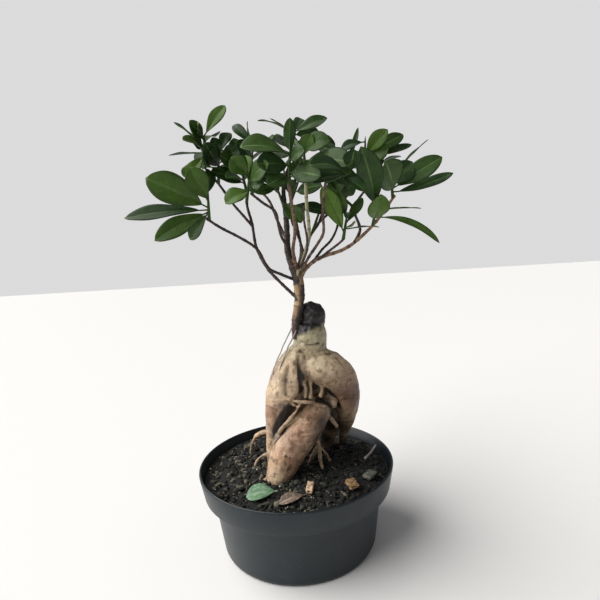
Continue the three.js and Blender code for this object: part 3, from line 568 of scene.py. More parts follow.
# Painted shade darkens a hollow out to a margin round it, and stays off the thin roots that cross it.
HOLLOW_MARGIN, HOLLOW_MARGIN_MOST, HOLLOW_BLEND, THIN_ROOT_MARGIN = 1.3, 3.5, 0.6, 0.5
# Painted shade darkens what lies this far below the bark's general surface.
CAVITY_SHADE_DEPTH, CAVITY_SHADE_SMOOTHING = 0.35, 6
ROOT_COLOURS = {"beige": "#b3997b", "pale": "#d2bc9e", "grey": "#7c6f62", "pink": "#9d6f56",
                "green": "#97967a", "brown": "#4d3423", "brown_shade": "#38251a", "shade_soil_and_scars": "#100b08",
                "stump": "#1d181a"}
GREEN_FROM, GREEN_FULL = 136, 160


def clamped(value):
    """A value held between nothing and one."""
    return min(1, max(0, value))


def patched(co, patches):
    """How strongly patches mark a place. Each has a centre, a radius and sometimes a strength."""
    return max(math.prod(strength) * bell((co - Vector(centre)).length, radius)
               for centre, radius, *strength in patches)


def curve_place(points, share):
    """A place on the centripetal Catmull-Rom curve through points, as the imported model's curves run."""
    last = len(points) - 1
    i = min(int(share * last), last - 1)
    t = share * last - i
    p1, p2 = points[i], points[i + 1]
    p0 = points[i - 1] if i > 0 else 2 * p1 - p2
    p3 = points[i + 2] if i + 2 <= last else 2 * p2 - p1
    d0, d1, d2 = (math.sqrt((b - a).length) for a, b in ((p0, p1), (p1, p2), (p2, p3)))
    start = ((p1 - p0) / d0 - (p2 - p0) / (d0 + d1) + (p2 - p1) / d1) * d1
    end = ((p2 - p1) / d1 - (p3 - p1) / (d1 + d2) + (p3 - p2) / d2) * d1
    square = 3 * (p2 - p1) - 2 * start - end
    return p1 + start * t + square * t ** 2 + (2 * (p1 - p2) + start + end) * t ** 3


def radius_at(rows, share):
    """The radius at a share of the way along rows of x, y, z and radius."""
    place = share * (len(rows) - 1)
    i = min(int(place), len(rows) - 2)
    return rows[i][3] + (rows[i + 1][3] - rows[i][3]) * (place - i)


def smooth_rows(rows, count):
    """Rows of x, y, z and radius on the smooth curve through a few such rows."""
    points = [Vector(row[:3]) for row in rows]
    shares = [k / (count - 1) for k in range(count)]
    return [(*curve_place(points, share), radius_at(rows, share)) for share in shares]


def length_of(points):
    """The length of the straight steps from point to point."""
    return sum((Vector(b) - Vector(a)).length for a, b in zip(points, points[1:]))


def nearest_finder(lines):
    """A function that gives the place nearest to a point on several smooth lines, how far off it is,
    the number of its line and its share of the way along that line."""
    found = []
    for number, line in enumerate(lines):
        points = [Vector(point[:3]) for point in line]
        count = max(2, round(length_of(points) / LINE_STEP))
        found += [(curve_place(points, k / count), number, k / count) for k in range(count + 1)]
    tree = kdtree.KDTree(len(found))
    for index, (place, _, _) in enumerate(found):
        tree.insert(place, index)
    tree.balance()

    def nearest(co):
        place, index, distance = tree.find(co)
        return place, distance, *found[index][1:]
    return nearest


def root_tubes(roots, detail):
    """Smooth tubes along rows of points, one for each root or hollow."""
    return tubes([smooth_rows(rows, ROOT_STATIONS) for rows in roots.values()], detail)


def smooth_points(bm, rounds):
    """Move each point of bm halfway to its neighbours' middle, as many times as rounds says."""
    for _ in range(rounds):
        bmesh.ops.smooth_vert(bm, verts=bm.verts, factor=0.5, use_axis_x=True, use_axis_y=True,
                              use_axis_z=True)


def bmesh_of(mesh):
    """A bmesh that holds what mesh holds."""
    bm = bmesh.new()
    bm.from_mesh(mesh)
    return bm


stump = bmesh.new()
bmesh.ops.create_uvsphere(stump, u_segments=STUMP_STEPS[0], v_segments=STUMP_STEPS[1], radius=1)
bmesh.ops.scale(stump, vec=STUMP_RADII, verts=stump.verts)
bmesh.ops.translate(stump, vec=STUMP_CENTRE, verts=stump.verts)
remesh = ("REMESH", {"mode": "VOXEL", "voxel_size": ROOT_VOXEL})
gouge = bpy.data.objects.new("gouge", with_modifiers(mesh_of(root_tubes(HOLLOWS, 4), "hollows"), remesh))
cut = {"object": gouge, "operation": "DIFFERENCE", "solver": "EXACT"}
limbs = with_modifiers(joined([root_tubes(ROOT_LIMBS, 5), stump], "limbs"), remesh, ("BOOLEAN", cut))
bpy.data.objects.remove(gouge)
whole = joined([bmesh_of(limbs), root_tubes(THIN_ROOTS, 3)], "rootstock")
root = bmesh_of(with_modifiers(whole, remesh, ("SMOOTH", {"factor": 0.5, "iterations": ROOT_SMOOTHING})))

marks = {name: root.verts.layers.float.new(name) for name in ("shade_soil_and_scars", "brown_shade", "pink", "dry_and_lit", "stump")}
nearest_crease = nearest_finder(points for _, _, points in CREASES)
nearest_hollow = nearest_finder(HOLLOWS.values())
nearest_thin_root = nearest_finder(THIN_ROOTS.values())
hollow_rows, thin_root_rows = list(HOLLOWS.values()), list(THIN_ROOTS.values())


def hollow_shade(co):
    """How strongly the painted shade of a hollow darkens a place."""
    _, distance, number, share = nearest_thin_root(co)
    clear = clamped(distance - radius_at(thin_root_rows[number], share) - THIN_ROOT_MARGIN)
    _, distance, number, share = nearest_hollow(co)
    radius = radius_at(hollow_rows[number], share)
    margin = min(HOLLOW_MARGIN_MOST, HOLLOW_MARGIN * radius)
    return clamped(HOLLOW_BLEND * (radius + margin - distance)) * clear


root.normal_update()
for vert in root.verts:
    co = vert.co
    edge = STUMP_EDGE_Z + STUMP_EDGE_SLOPE * (co.x - STUMP_EDGE_X)
    stumpness = clamped((co.z - edge) / STUMP_EDGE_BLEND)
    lift = ROOT_LIFT + relief(co, ROOT_LUMPS) + stumpness * relief(co, STUMP_LUMPS)
    _, distance, number, _ = nearest_crease(co)
    width, depth, _ = CREASES[number]
    crease = bell(distance, width)
    lift -= depth * crease
    # Painted shade in the crease; the dark middle of a scar, added below, is its own colour.
    shade_and_scar = crease * min(CREASE_SHADE_MOST, CREASE_SHADE * depth)
    for centre, radius, rim, sink in SCARS:
        away = (co - Vector(centre)).length
        if away < SCAR_REACH * radius:
            lift += rim * bell(away - radius, SCAR_RIM * radius) - sink * bell(away, SCAR_PIT * radius)
            shade_and_scar = max(shade_and_scar, bell(away, SCAR_MARK * radius))
    # Painted shade, near black, in creases, hollows and the deep places between the roots, with clinging
    # soil there and the dark middles of scars.
    vert[marks["shade_soil_and_scars"]] = max(shade_and_scar, patched(co, SHADED_AND_SOILED_PATCHES), hollow_shade(co))
    # Painted shade, dark brown, on the sides of the roots away from the window.
    vert[marks["brown_shade"]] = patched(co, SHADE_PATCHES)
    vert[marks["pink"]] = patched(co, PINK_PATCHES)
    # Dry bark, with a painted highlight on the lit top of the hip.
    vert[marks["dry_and_lit"]] = patched(co, DRY_AND_LIT_PATCHES)
    vert[marks["stump"]] = stumpness
    vert.co += vert.normal * lift

# Painted shade in the hollows: how far a point lies below the smoothed surface.
root.normal_update()
shapes = [(vert.co.copy(), vert.normal.copy()) for vert in root.verts]
smooth_points(root, CAVITY_SHADE_SMOOTHING)
for vert, (co, normal) in zip(root.verts, shapes):
    sunk = (vert.co - co).dot(normal) / CAVITY_SHADE_DEPTH
    vert[marks["shade_soil_and_scars"]] = max(vert[marks["shade_soil_and_scars"]], clamped(sunk))
    vert.co = co


def layered(owner, colour, layers):
    """A colour under layers of others. Each layer has its pattern, the values of the pattern where it
    starts and where it is full, how much it covers there, and its hex colour."""
    for pattern, start, full, cover, hex_colour in layers:
        share = add_node(owner, "MapRange", {
            "Value": pattern, "From Min": start, "From Max": full, "To Max": cover})
        colour = add_node(owner, "MixRGB", {"Fac": share, "Color1": colour, "Color2": linear(hex_colour)})
    return colour


# Living fig bark: waxy, finely wrinkled, beige with grey, pink and brown, green towards the neck.
# Its pores are drawn about twice as wide as they are, so that they show.
fig_bark = new_material("smooth_fig_root_bark")
place = add_node(fig_bark, "TexCoord").outputs["Object"]
flat = add_node(fig_bark, "Mapping", {"Vector": place, "Scale": (1, 1, 4)})
tall = add_node(fig_bark, "Mapping", {"Vector": place, "Scale": (1, 1, 0.25)})
broad, blotch, pale, fleck, streak, wrinkle = (
    add_node(fig_bark, "TexNoise", {
        "Vector": direction, "Scale": 1 / (size * MM), "Detail": detail, "Roughness": rough})
    for direction, size, detail, rough in (
        (place, 17, 5, 0.62), (place, 5, 6, 0.7), (flat, 9, 5, 0.65), (place, 1.7, 3, 0.5),
        (tall, 3, 4, 0.5), (flat, 4, 5, 0.7)))
pores = add_node(fig_bark, "TexVoronoi", {"Vector": flat, "Scale": 1 / (3.6 * MM)})
height = add_node(fig_bark, "SeparateXYZ", {"Vector": place}).outputs["Z"]
pink, dry_and_lit, brown_shade, shade_soil_and_scars, woody = (
    add_node(fig_bark, "Attribute", attribute_name=name).outputs["Fac"]
    for name in ("pink", "dry_and_lit", "brown_shade", "shade_soil_and_scars", "stump"))
colour = layered(fig_bark, linear(ROOT_COLOURS["beige"]), [
    (broad, 0.42, 0.7, 1, ROOT_COLOURS["grey"]),
    (pink, 0, 1, 0.75, ROOT_COLOURS["pink"]),
    # Dry bark, with a painted highlight on the lit top of the hip.
    (dry_and_lit, 0, 1, 0.9, ROOT_COLOURS["pale"]),
    (pale, 0.52, 0.68, 0.6, ROOT_COLOURS["pale"]),
    (height, GREEN_FROM * MM, GREEN_FULL * MM, 0.75, ROOT_COLOURS["green"]),
    (blotch, 0.49, 0.66, 0.85, ROOT_COLOURS["brown"]),
    (streak, 0.58, 0.8, 0.5, ROOT_COLOURS["brown"]),
    (pores, 0.22, 0.08, 0.5, ROOT_COLOURS["brown"]),
    (fleck, 0.6, 0.72, 0.55, ROOT_COLOURS["pale"]),
    # Painted shade: dark brown on the roots' sides away from the window.
    (brown_shade, 0.05, 0.9, 0.96, ROOT_COLOURS["brown_shade"]),
    # Painted shade in creases, hollows and between the roots, with clinging soil and scar middles.
    (shade_soil_and_scars, 0.05, 0.9, 0.96, ROOT_COLOURS["shade_soil_and_scars"]),
    (woody, 0, 1, 1, ROOT_COLOURS["stump"]),
])
texture = add_node(fig_bark, "Bump", {"Height": wrinkle, "Strength": 0.5, "Distance": 0.5 * MM})
shader = add_node(fig_bark, "BsdfPrincipled", {
    "Base Color": colour, "Roughness": 0.48, "IOR": 1.45, "Normal": texture})
add_node(fig_bark, "OutputMaterial", {"Surface": shader})
add_piece("swollen_roots", mesh_of(root, "swollen_roots"), fig_bark, ["rootstock"])


# Trunk and branches. A small-leaved fig grafted on the rootstock: a short mottled trunk that forks
# into a dark leader and thin branches. Living wood under a thin bark, ringed at each old leaf.
# Each stem has the radius of its foot, the radius of its tip and the points that it runs through.
STEMS = {
    "scion_trunk": (3.4, 4.3, [
        (6, -2, 159), (6, -2, 168.5), (8, -1, 179), (10, 0, 189.5), (10, 0, 199), (9, 0, 207.5),
        (7, 0, 214.5)]),
    "leader": (2.9, 1.3, [
        (9, 0, 206), (5, 0, 217), (3, 2, 227.5), (3.5, 2, 236.5), (3.5, 4, 247.5), (3, 5, 259.5),
        (3, 6, 272), (9, 9, 290.5)]),
    "branch_left_front": (1.1, 0.9, [
        (10.5, 0, 202), (-2, -5, 208), (-11.5, -8, 213.5), (-19, -12, 228), (-30, -16, 236.5),
        (-42.5, -20, 244), (-52, -22, 251)]),
    "branch_left_back": (1.2, 1, [
        (9.5, 0, 188), (2.5, 3, 195), (-4, 5, 202), (-11.5, 8, 210.5), (-17, 10, 220), (-21, 13, 230.5),
        (-23, 16, 248), (-26, 18, 262), (-25.5, 20, 275.5)]),
    "branch_left_high": (1, 0.8, [
        (-23, 16, 246), (-29.5, 14, 254.5), (-35, 13, 261.5), (-39.5, 12, 268.5), (-44.5, 10, 276.5),
        (-50, 9, 284), (-54.5, 8, 290), (-55, 8, 295.5)]),
    "branch_front_left": (1.1, 0.8, [
        (3.5, 1, 229), (-0.5, -8, 235), (-2.5, -18, 244.5), (-4, -25, 252.5), (-11.5, -32, 258),
        (-19, -38, 264)]),
    "branch_front_middle": (1.3, 1, [
        (8.5, 0, 215), (7, -7, 225.5), (9, -15, 238.5), (8.5, -22, 249), (7, -32, 259), (6, -42, 268)]),
    "branch_back_left": (1.1, 0.9, [(3, 2, 233.5), (-3.5, 18, 249.5), (-9.5, 36, 267), (-25, 54, 285.5)]),
    "branch_back_middle": (1.2, 0.9, [
        (9, 0, 209), (13.5, 8, 224), (12.5, 20, 239.5), (10.5, 38, 256.5), (6.5, 52, 280.5)]),
    "branch_back_right": (1.1, 0.9, [
        (10, 0, 207), (16.5, 6, 224.5), (21, 12, 235), (29.5, 20, 246.5), (36, 38, 265),
        (39.5, 50, 281.5)]),
    "stem_pale": (1.3, 1.1, [
        (9.5, 0, 206), (15, -3, 221), (19, -5, 232.5), (19.5, -8, 243), (18.5, -12, 257),
        (18.5, -15, 272.5), (18.5, -18, 285.5)]),
    "branch_front_right": (1.1, 0.9, [
        (10.5, 0, 204.5), (17.5, -5, 218.5), (24.5, -10, 228.5), (29, -14, 236), (29, -21, 248),
        (29, -32, 260), (30.5, -40, 270.5)]),
    "branch_right_main": (1.5, 1, [
        (10, 0, 200), (14.5, -1, 209.5), (22, -2, 216.5), (30.5, -3, 220), (41.5, -5, 223), (50, -6, 227),
        (58.5, -8, 233.5), (68, -10, 242.5), (74, -11, 250), (82, -12, 260.5)]),
    "branch_right_inner": (1, 0.8, [
        (21.5, -2, 216), (29, 4, 224.5), (37, 10, 231.5), (43, 16, 241.5), (47.5, 24, 257.5),
        (52.5, 30, 272)]),
    "branch_right_low": (1, 0.8, [(26, -3, 218), (34, -8, 224), (39.5, -12, 228), (43.5, -15, 231.5)]),
    "branch_right_fork": (1.1, 0.9, [
        (52.5, -7, 229), (57.5, -3, 237.5), (56, 5, 248.5), (55, 9, 255.5), (59.5, 12, 261),
        (67, 18, 269.5)]),
    "branch_right_back": (1, 0.8, [(26.5, 19, 243.5), (44, 32, 258), (62, 44, 272.5), (78, 52, 284)]),
    "twig_centre": (1, 0.8, [
        (10, 0, 213.5), (14.5, 5, 223.5), (12, 11, 235.5), (8, 17, 247.5), (7, 24, 258.5)]),
    "twig_front": (0.9, 0.7, [
        (10.5, 0, 210.5), (17, -11, 225), (17, -18, 235), (15.5, -24, 244.5), (15.5, -30, 255)]),
}
# The tone of each stem's bark: 0 is dark brown, 0.5 is red brown and 1 is pale green.
STEM_TONES = {"scion_trunk": 0.46, "leader": 0.05, "branch_left_front": 0.05, "branch_left_back": 0.05,
              "branch_left_high": 0.1, "branch_front_middle": 0.4, "stem_pale": 1,
              "branch_right_main": 0.5, "branch_front_right": 0.3, "branch_right_fork": 0.1,
              "branch_right_inner": 0.1, "branch_right_low": 0.2}
USUAL_TONE = 0.15
# The trunk's bark is darkest below this height, where it meets the stump, and clear from there up.
DARK_BARK_TOP, CLEAR_BARK_FOOT, DARK_BARK_TONE = 174, 184, 0.38
# Painted shade and light: how much darker its bark is painted on the side away from the window, and how far
# it is painted paler on the side towards it.
SHADED_SIDE, LIT_LIMIT = 0.62, 0.35
STEM_VOXEL = 0.45
STEM_STATION = 1.5
STEM_SMOOTHING = 4
STEM_LIFT = 0.12
# The stem's lumps: one kind swings by a share of its radius, and one is a fine roughness.
STEM_LUMP_SHARE, STEM_LUMP, STEM_ROUGHNESS = 0.1, 4, (0.09, 1.2)
# The rings left by old leaves: how far apart, how unevenly, how wide, and how high on thick stems.
RING_SPACING, RING_DRIFT, RING_DRIFT_LENGTH, RING_WIDTH = 7.5, 0.4, 9, 0.09
RING_RISE, RING_RISE_RADIUS = 0.16, 2
STEM_COLOURS = [(0, "#1f1816"), (0.25, "#43302b"), (0.5, "#80644c"), (0.75, "#99825c"), (1, "#9b9e7c")]
RING_COLOUR = STEM_COLOURS[0][1]
LICHEN_COLOUR = "#9c8a6b"


def tapered(points, foot, tip):
    """Points with a radius each, which runs evenly from foot to tip."""
    last = len(points) - 1
    return [(*point, foot + (tip - foot) * i / last) for i, point in enumerate(points)]


stem_names = list(STEMS)
stem_paths = [smooth_rows(tapered(points, foot, tip), round(length_of(points) / STEM_STATION) + 2)
              for foot, tip, points in STEMS.values()]
wood = bmesh_of(with_modifiers(
    mesh_of(tubes(stem_paths, detail=3), "stems"),
    ("REMESH", {"mode": "VOXEL", "voxel_size": STEM_VOXEL}),
    ("SMOOTH", {"factor": 0.5, "iterations": STEM_SMOOTHING}),
))
tones, rings = (wood.verts.layers.float.new(name) for name in ("tone", "ring"))
nearest_stem = nearest_finder(points for _, _, points in STEMS.values())
wood.normal_update()
for vert in wood.verts:
    place, _, number, share = nearest_stem(vert.co)
    name = stem_names[number]
    foot, tip, points = STEMS[name]
    radius = foot + (tip - foot) * share
    along = share * length_of(points)
    drift = RING_DRIFT * noise.noise(Vector((number, along / RING_DRIFT_LENGTH, 0)))
    phase = (along / RING_SPACING + drift) % 1
    ring = bell(min(phase, 1 - phase), RING_WIDTH)
    tone = STEM_TONES.get(name, USUAL_TONE)
    if name == "scion_trunk":
        rise = (vert.co.z - DARK_BARK_TOP) / (CLEAR_BARK_FOOT - DARK_BARK_TOP)
        tone -= DARK_BARK_TONE * (1 - clamped(rise))
        # Painted shade on the side away from the window, and painted light on the side towards it.
        tone -= SHADED_SIDE * max(-LIT_LIMIT, (vert.co.x - place.x) / radius)
    vert[tones] = tone
    vert[rings] = ring
    rough = relief(vert.co, [(STEM_LUMP_SHARE * radius, STEM_LUMP), STEM_ROUGHNESS])
    vert.co += vert.normal * (STEM_LIFT + RING_RISE * ring * min(radius, RING_RISE_RADIUS) + rough)


# Young fig bark: thin and dull, mottled from dark brown to pale green, rough at the leaf rings.
twig_bark = new_material("thin_mottled_fig_bark")
place = add_node(twig_bark, "TexCoord").outputs["Object"]
tone, ring = (add_node(twig_bark, "Attribute", attribute_name=name).outputs["Fac"]
              for name in ("tone", "ring"))
mottle = add_node(twig_bark, "TexNoise", {
    "Vector": place, "Scale": 1 / (4 * MM), "Detail": 6, "Roughness": 0.7})
fleck = add_node(twig_bark, "TexNoise", {"Vector": place, "Scale": 1 / (1.1 * MM), "Detail": 3})
shift = add_node(twig_bark, "MapRange", {
    "Value": mottle, "From Min": 0.3, "From Max": 0.7, "To Min": -0.2, "To Max": 0.2})
stop = add_node(twig_bark, "Math", {0: tone, 1: shift}, operation="ADD")
colour = add_node(twig_bark, "ValToRGB", {"Fac": stop})
set_ramp(colour.color_ramp, STEM_COLOURS)
colour = layered(twig_bark, colour, [
    (fleck, 0.58, 0.7, 0.3, LICHEN_COLOUR), (ring, 0, 1, 0.5, RING_COLOUR)])
texture = add_node(twig_bark, "Bump", {"Height": mottle, "Strength": 0.6, "Distance": 0.4 * MM})
shader = add_node(twig_bark, "BsdfPrincipled", {
    "Base Color": colour, "Roughness": 0.72, "Normal": texture})
add_node(twig_bark, "OutputMaterial", {"Surface": shader})
add_piece("trunk_and_branches", mesh_of(wood, "trunk_and_branches"), twig_bark, stem_names)


# Leafy shoots. Each green shoot carries thick waxy leaves, dark green and glossy, on short stalks,
# and ends in a pointed bud. It grows from its branch, and with its leaves it is one living piece.
UP, FRONT, BACK = (0, 0, 1), (0, -1, 0.25), (0, 1, 0.5)
LEFT = (-1, 0, 0.4)
UP_FRONT, UP_BACK = (0, -0.8, 0.8), (0, 0.6, 1)
UP_LEFT, UP_RIGHT = (-0.7, -0.1, 0.9), (0.7, -0.1, 0.9)
FRONT_LEFT, FRONT_RIGHT = (-0.8, -0.7, 0.3), (0.8, -0.7, 0.3)
# Each shoot: the stem that carries it, how far along, and its tip. Each leaf: how far along the
# shoot, the place of its tip, the way it faces, its width, and where it differs its arch.
SHOOTS = {
    "shoot_left_low": ("branch_left_front", 0.96, (-49, -23, 270), [
        (0.2, -87, -34, 278, FRONT, 20.5), (0.1, -106, -26, 254, UP_FRONT, 13, 0.03),
        (0, -82, -44, 237, FRONT, 14), (0, -66, -14, 237, FRONT, 10), (0.5, -58, -30, 284, FRONT, 16),
        (0.85, -49, -8, 286, FRONT_RIGHT, 9)]),
    "shoot_left_tip": ("branch_left_high", 0.97, (-53, 7, 314), [
        (1, -37, 14, 336, FRONT, 10.5), (0.45, -70, -12, 319, UP, 3.4, 0.02),
        (0.75, -60, -8, 320, FRONT, 9), (0.3, -60, -4, 308, FRONT, 9), (0.15, -62, -26, 303, FRONT, 11),
        (0.1, -83, 20, 303, UP, 6, 0.02), (0.6, -50, 46, 322, UP_BACK, 15),
        (0.15, -62, 46, 297, UP_BACK, 15), (0, -66, -14, 281, UP_FRONT, 12, -0.05),
        (0.9, -53, -18, 315, FRONT_LEFT, 6), (0.3, -46, -10, 299, FRONT, 10)]),
    "shoot_left_side": ("branch_left_high", 0.6, (-44, 12, 303), [
        (0.9, -36, 24, 319, FRONT, 9, 0.12), (1, -46, -2, 309, FRONT, 9), (0.3, -50, -14, 303, FRONT, 14),
        (0.7, -38, 48, 309, UP_BACK, 15), (0, -49, -22, 286, FRONT, 12), (0.5, -27, 2, 301, FRONT, 13)]),
    "shoot_left_centre": ("branch_left_back", 0.97, (-30, 24, 296), [
        (0.5, -41, -4, 296, FRONT, 16), (0.9, -33, 62, 313, UP_BACK, 15), (0.2, -14, 56, 293, UP_BACK, 16),
        (0, -48, -10, 284, FRONT, 12), (0.8, -32, 10, 311, FRONT, 13), (0.1, -36, -20, 278, FRONT, 11)]),
    "shoot_left_top": ("branch_left_back", 0.9, (-17, 10, 309), [
        (0.95, -33, 20, 323, FRONT, 8, 0.14), (1, -22, 16, 324, LEFT, 3), (0.8, -3, -16, 303, UP_FRONT, 15),
        (0.6, -28, -12, 303, FRONT, 12), (0.95, 6, 34, 314, UP, 12), (0.1, -1, -8, 291, FRONT, 15),
        (0, -10, -16, 281, FRONT, 14)]),
    "shoot_front_left": ("branch_front_left", 0.97, (-20, -41, 275), [
        (1, -29, -46, 286, FRONT, 13), (0.6, -6, -58, 279, FRONT, 13), (0, -35, -46, 258, UP_FRONT, 13.5),
        (1, -21, -36, 289, FRONT, 9), (0.3, -9, -52, 270, FRONT, 11)]),
    "shoot_front_middle": ("branch_front_middle", 0.97, (8, -42, 288), [
        (1, -23, -50, 291, UP_FRONT, 21, 0.1), (0.5, -13, -58, 279, FRONT, 15),
        (0.2, 25, -62, 269, FRONT, 15), (1, 9, -46, 308, BACK, 8), (0, -7, -60, 266, FRONT, 12),
        (0.75, 16, -56, 286, FRONT, 11)]),
    "shoot_pale_tip": ("stem_pale", 0.97, (18, -19, 296), [
        (0, 47, -50, 278, FRONT, 17), (0.9, 35, -34, 296, FRONT_LEFT, 14, 0.14),
        (1, 42, -4, 299, UP, 9, 0.2), (0.7, 5, -2, 309, UP_LEFT, 5), (1, -3, -20, 316, UP, 3),
        (0, 55, -24, 268, FRONT, 14), (0.6, 23, -30, 301, FRONT, 11)]),
    "shoot_leader_tip": ("leader", 0.97, (13, 11, 315), [
        (1, 37, -2, 319, FRONT, 9), (0.9, 34, 20, 313, FRONT, 13), (0.95, -14, 34, 330, UP, 4),
        (0.3, -5, 30, 313, UP_BACK, 12), (0.2, 2, 46, 302, UP_BACK, 16), (1, 21, 30, 328, FRONT, 9),
        (0.5, 45, 16, 302, UP_FRONT, 18.5, 0.14)]),
    "shoot_leader_side": ("leader", 0.68, (-3, 3, 275), [
        (0.8, -20, -8, 270, FRONT, 10), (0, 14, -12, 245, UP_FRONT, 14), (0.5, -14, 36, 278, UP_BACK, 14),
        (1, -9, -6, 284, FRONT, 12)]),
    "shoot_leader_right": ("leader", 0.62, (15, 14, 278), [
        (0.6, 30, -12, 270, FRONT, 13), (1, 16, -8, 291, FRONT, 15), (0.3, 5, 46, 285, UP_BACK, 15),
        (0, 35, 2, 252, UP_FRONT, 12.5)]),
    "shoot_back_low": ("branch_back_right", 0.45, (34, 14, 265), [
        (0.9, 49, 3, 277, FRONT, 13), (0.5, 47, 30, 276, UP, 13)]),
    "shoot_back_middle": ("branch_back_middle", 0.97, (4, 60, 297), [
        (1, -14, 86, 322, UP_BACK, 16), (0.9, 26, 86, 318, UP_BACK, 16), (0.6, -22, 68, 294, UP, 15),
        (0.5, 40, 64, 302, UP, 16), (0.2, 5, 94, 291, UP_BACK, 16)]),
    "shoot_back_top": ("branch_back_middle", 0.85, (20, 36, 311), [
        (1, 35, 56, 320, UP, 13), (0.8, -4, 56, 320, UP_BACK, 15), (0.3, 40, 26, 292, UP, 16),
        (0.6, 30, 66, 312, UP_BACK, 16)]),
    "shoot_back_right": ("branch_back_right", 0.97, (42, 55, 300), [
        (1, 44, 88, 322, UP_BACK, 15), (0.9, 64, 70, 312, UP, 14), (0.4, 74, 62, 292, UP, 16),
        (0.2, 45, 90, 290, UP_BACK, 16)]),
    "shoot_back_left": ("branch_back_left", 0.97, (-33, 61, 301), [
        (1, -38, 94, 320, UP_BACK, 15), (0.9, -61, 72, 315, UP_LEFT, 14), (0.4, -54, 50, 296, UP_LEFT, 15),
        (0.2, -34, 98, 297, UP_BACK, 16), (0.7, -6, 62, 314, UP, 16)]),
    "shoot_far_right": ("branch_right_back", 0.97, (84, 56, 297), [
        (1, 106, 76, 309, UP, 14), (0.8, 82, 92, 310, UP_BACK, 15), (0.4, 104, 50, 299, UP_RIGHT, 14),
        (0.2, 104, 88, 285, UP_BACK, 16), (0.9, 66, 86, 308, UP_BACK, 15)]),
    "shoot_front_right": ("branch_front_right", 0.97, (46, -46, 273), [
        (0.9, 19, -62, 276, UP_FRONT, 17, 0.1), (0.7, 20, -58, 266, UP_FRONT, 12),
        (0.5, 53, -54, 260, UP_FRONT, 10), (1, 48, -50, 286, FRONT, 12)]),
    "shoot_right_inner": ("branch_right_inner", 0.97, (55, 32, 289), [
        (1, 67, 40, 322, FRONT, 4), (0.8, 62, 74, 302, UP_BACK, 15), (0.4, 88, 26, 284, UP, 15),
        (0.5, 30, 40, 284, UP, 15), (0.9, 49, 18, 299, FRONT, 13)]),
    "shoot_right_top": ("branch_right_fork", 0.97, (67, 12, 308), [
        (0.6, 80, -4, 308, FRONT, 12), (0.5, 101, 30, 312, FRONT, 11),
        (0.5, 108, 30, 304, FRONT, 6.5, 0.02), (0.95, 49, 22, 301, FRONT, 8, 0.18),
        (0.3, 53, -6, 289, FRONT, 13), (0.4, 82, 2, 298, FRONT, 14), (0.2, 79, 6, 290, FRONT, 14)]),
    "shoot_right_tip": ("branch_right_main", 0.98, (79, -14, 274), [
        (0.2, 112, -26, 283, FRONT, 14, 0.03), (0, 70, -38, 280, FRONT, 22),
        (0, 124, -14, 274, UP_FRONT, 9.5, -0.06), (1, 112, 4, 302, UP, 2.5, 0.02),
        (0.6, 96, 28, 282, UP, 12), (0.4, 93, -20, 282, FRONT, 15)]),
    "shoot_right_side": ("branch_right_main", 0.75, (66, -22, 252), [
        (0.3, 109, -26, 225, UP_FRONT, 6.5, 0.15), (1, 52, -52, 287, FRONT, 18),
        (0, 66, -40, 258, FRONT, 15), (0.9, 102, -8, 251, UP, 3, 0.02)]),
    "shoot_right_low": ("branch_right_low", 0.97, (46, -17, 247), [
        (0, 29, -24, 268, FRONT, 13), (0.3, 51, -22, 243, FRONT_RIGHT, 6), (0.3, 73, 2, 240, UP, 3.5, 0.02),
        (1, 40, -24, 265, FRONT, 7), (0.9, 46, -26, 250, UP_FRONT, 5), (0.6, 59, -12, 260, FRONT, 7)]),
    "shoot_fork_left": ("branch_right_fork", 0.6, (47, 13, 265), [
        (1, 26, 2, 288, UP_FRONT, 15), (0.9, 41, 30, 283, UP_BACK, 15), (0.9, 54, -4, 274, FRONT, 13)]),
}
# How bright each leaf is painted, by its number on the shoot: 0 is old and dark, 1 is new and bright.
# Besides a leaf's age, these tones paint the light and shade that fall on it.
LEAF_TONES = {
    "shoot_left_low": {0: 0.35, 1: 0, 2: 0.26, 4: 0.4},
    "shoot_left_tip": {0: 0.55, 1: 0.3, 3: 0.2, 4: 0.5, 5: 0, 8: 0.6, 9: 0.45, 10: 0.1},
    "shoot_left_side": {0: 0, 4: 0.2, 5: 0}, "shoot_left_centre": {3: 0.15, 5: 0.2},
    "shoot_left_top": {0: 0, 1: 0.5}, "shoot_front_left": {0: 0.4, 1: 0.25, 2: 0.55, 3: 0.6},
    "shoot_front_middle": {0: 0.25, 4: 0.2}, "shoot_pale_tip": {1: 0.2, 2: 0, 3: 0.5, 4: 0, 6: 0.45},
    "shoot_leader_tip": {0: 0.1}, "shoot_leader_side": {1: 0.25}, "shoot_leader_right": {3: 0},
    "shoot_front_right": {0: 0, 1: 0, 2: 0, 3: 0},
    "shoot_right_top": {0: 0.55, 1: 0.15, 3: 0, 5: 0.4, 6: 0.2},
    "shoot_right_tip": {0: 0.16, 1: 0.25, 2: 0, 4: 0.25, 5: 0},
    "shoot_right_side": {0: 0.4, 1: 0.1, 2: 0.55, 3: 0.5},
    "shoot_right_low": {0: 0.9, 1: 0.9, 2: 0.3, 3: 0.3, 4: 0, 5: 0.2},
}
# The stalk's share of a leaf's whole length, and how high the leaf arches over that length.
STALK_SHARE = 0.1
LEAF_ARCH_SHARE = 0.06
# Where a leaf is widest, as a power of the share of its length, and how full its outline is.
LEAF_WIDEST, LEAF_FULLNESS = 1.35, 0.65
LEAF_FOLD = 0.22
MIDRIB_SINK, MIDRIB_WIDTH = 0.35, 0.8
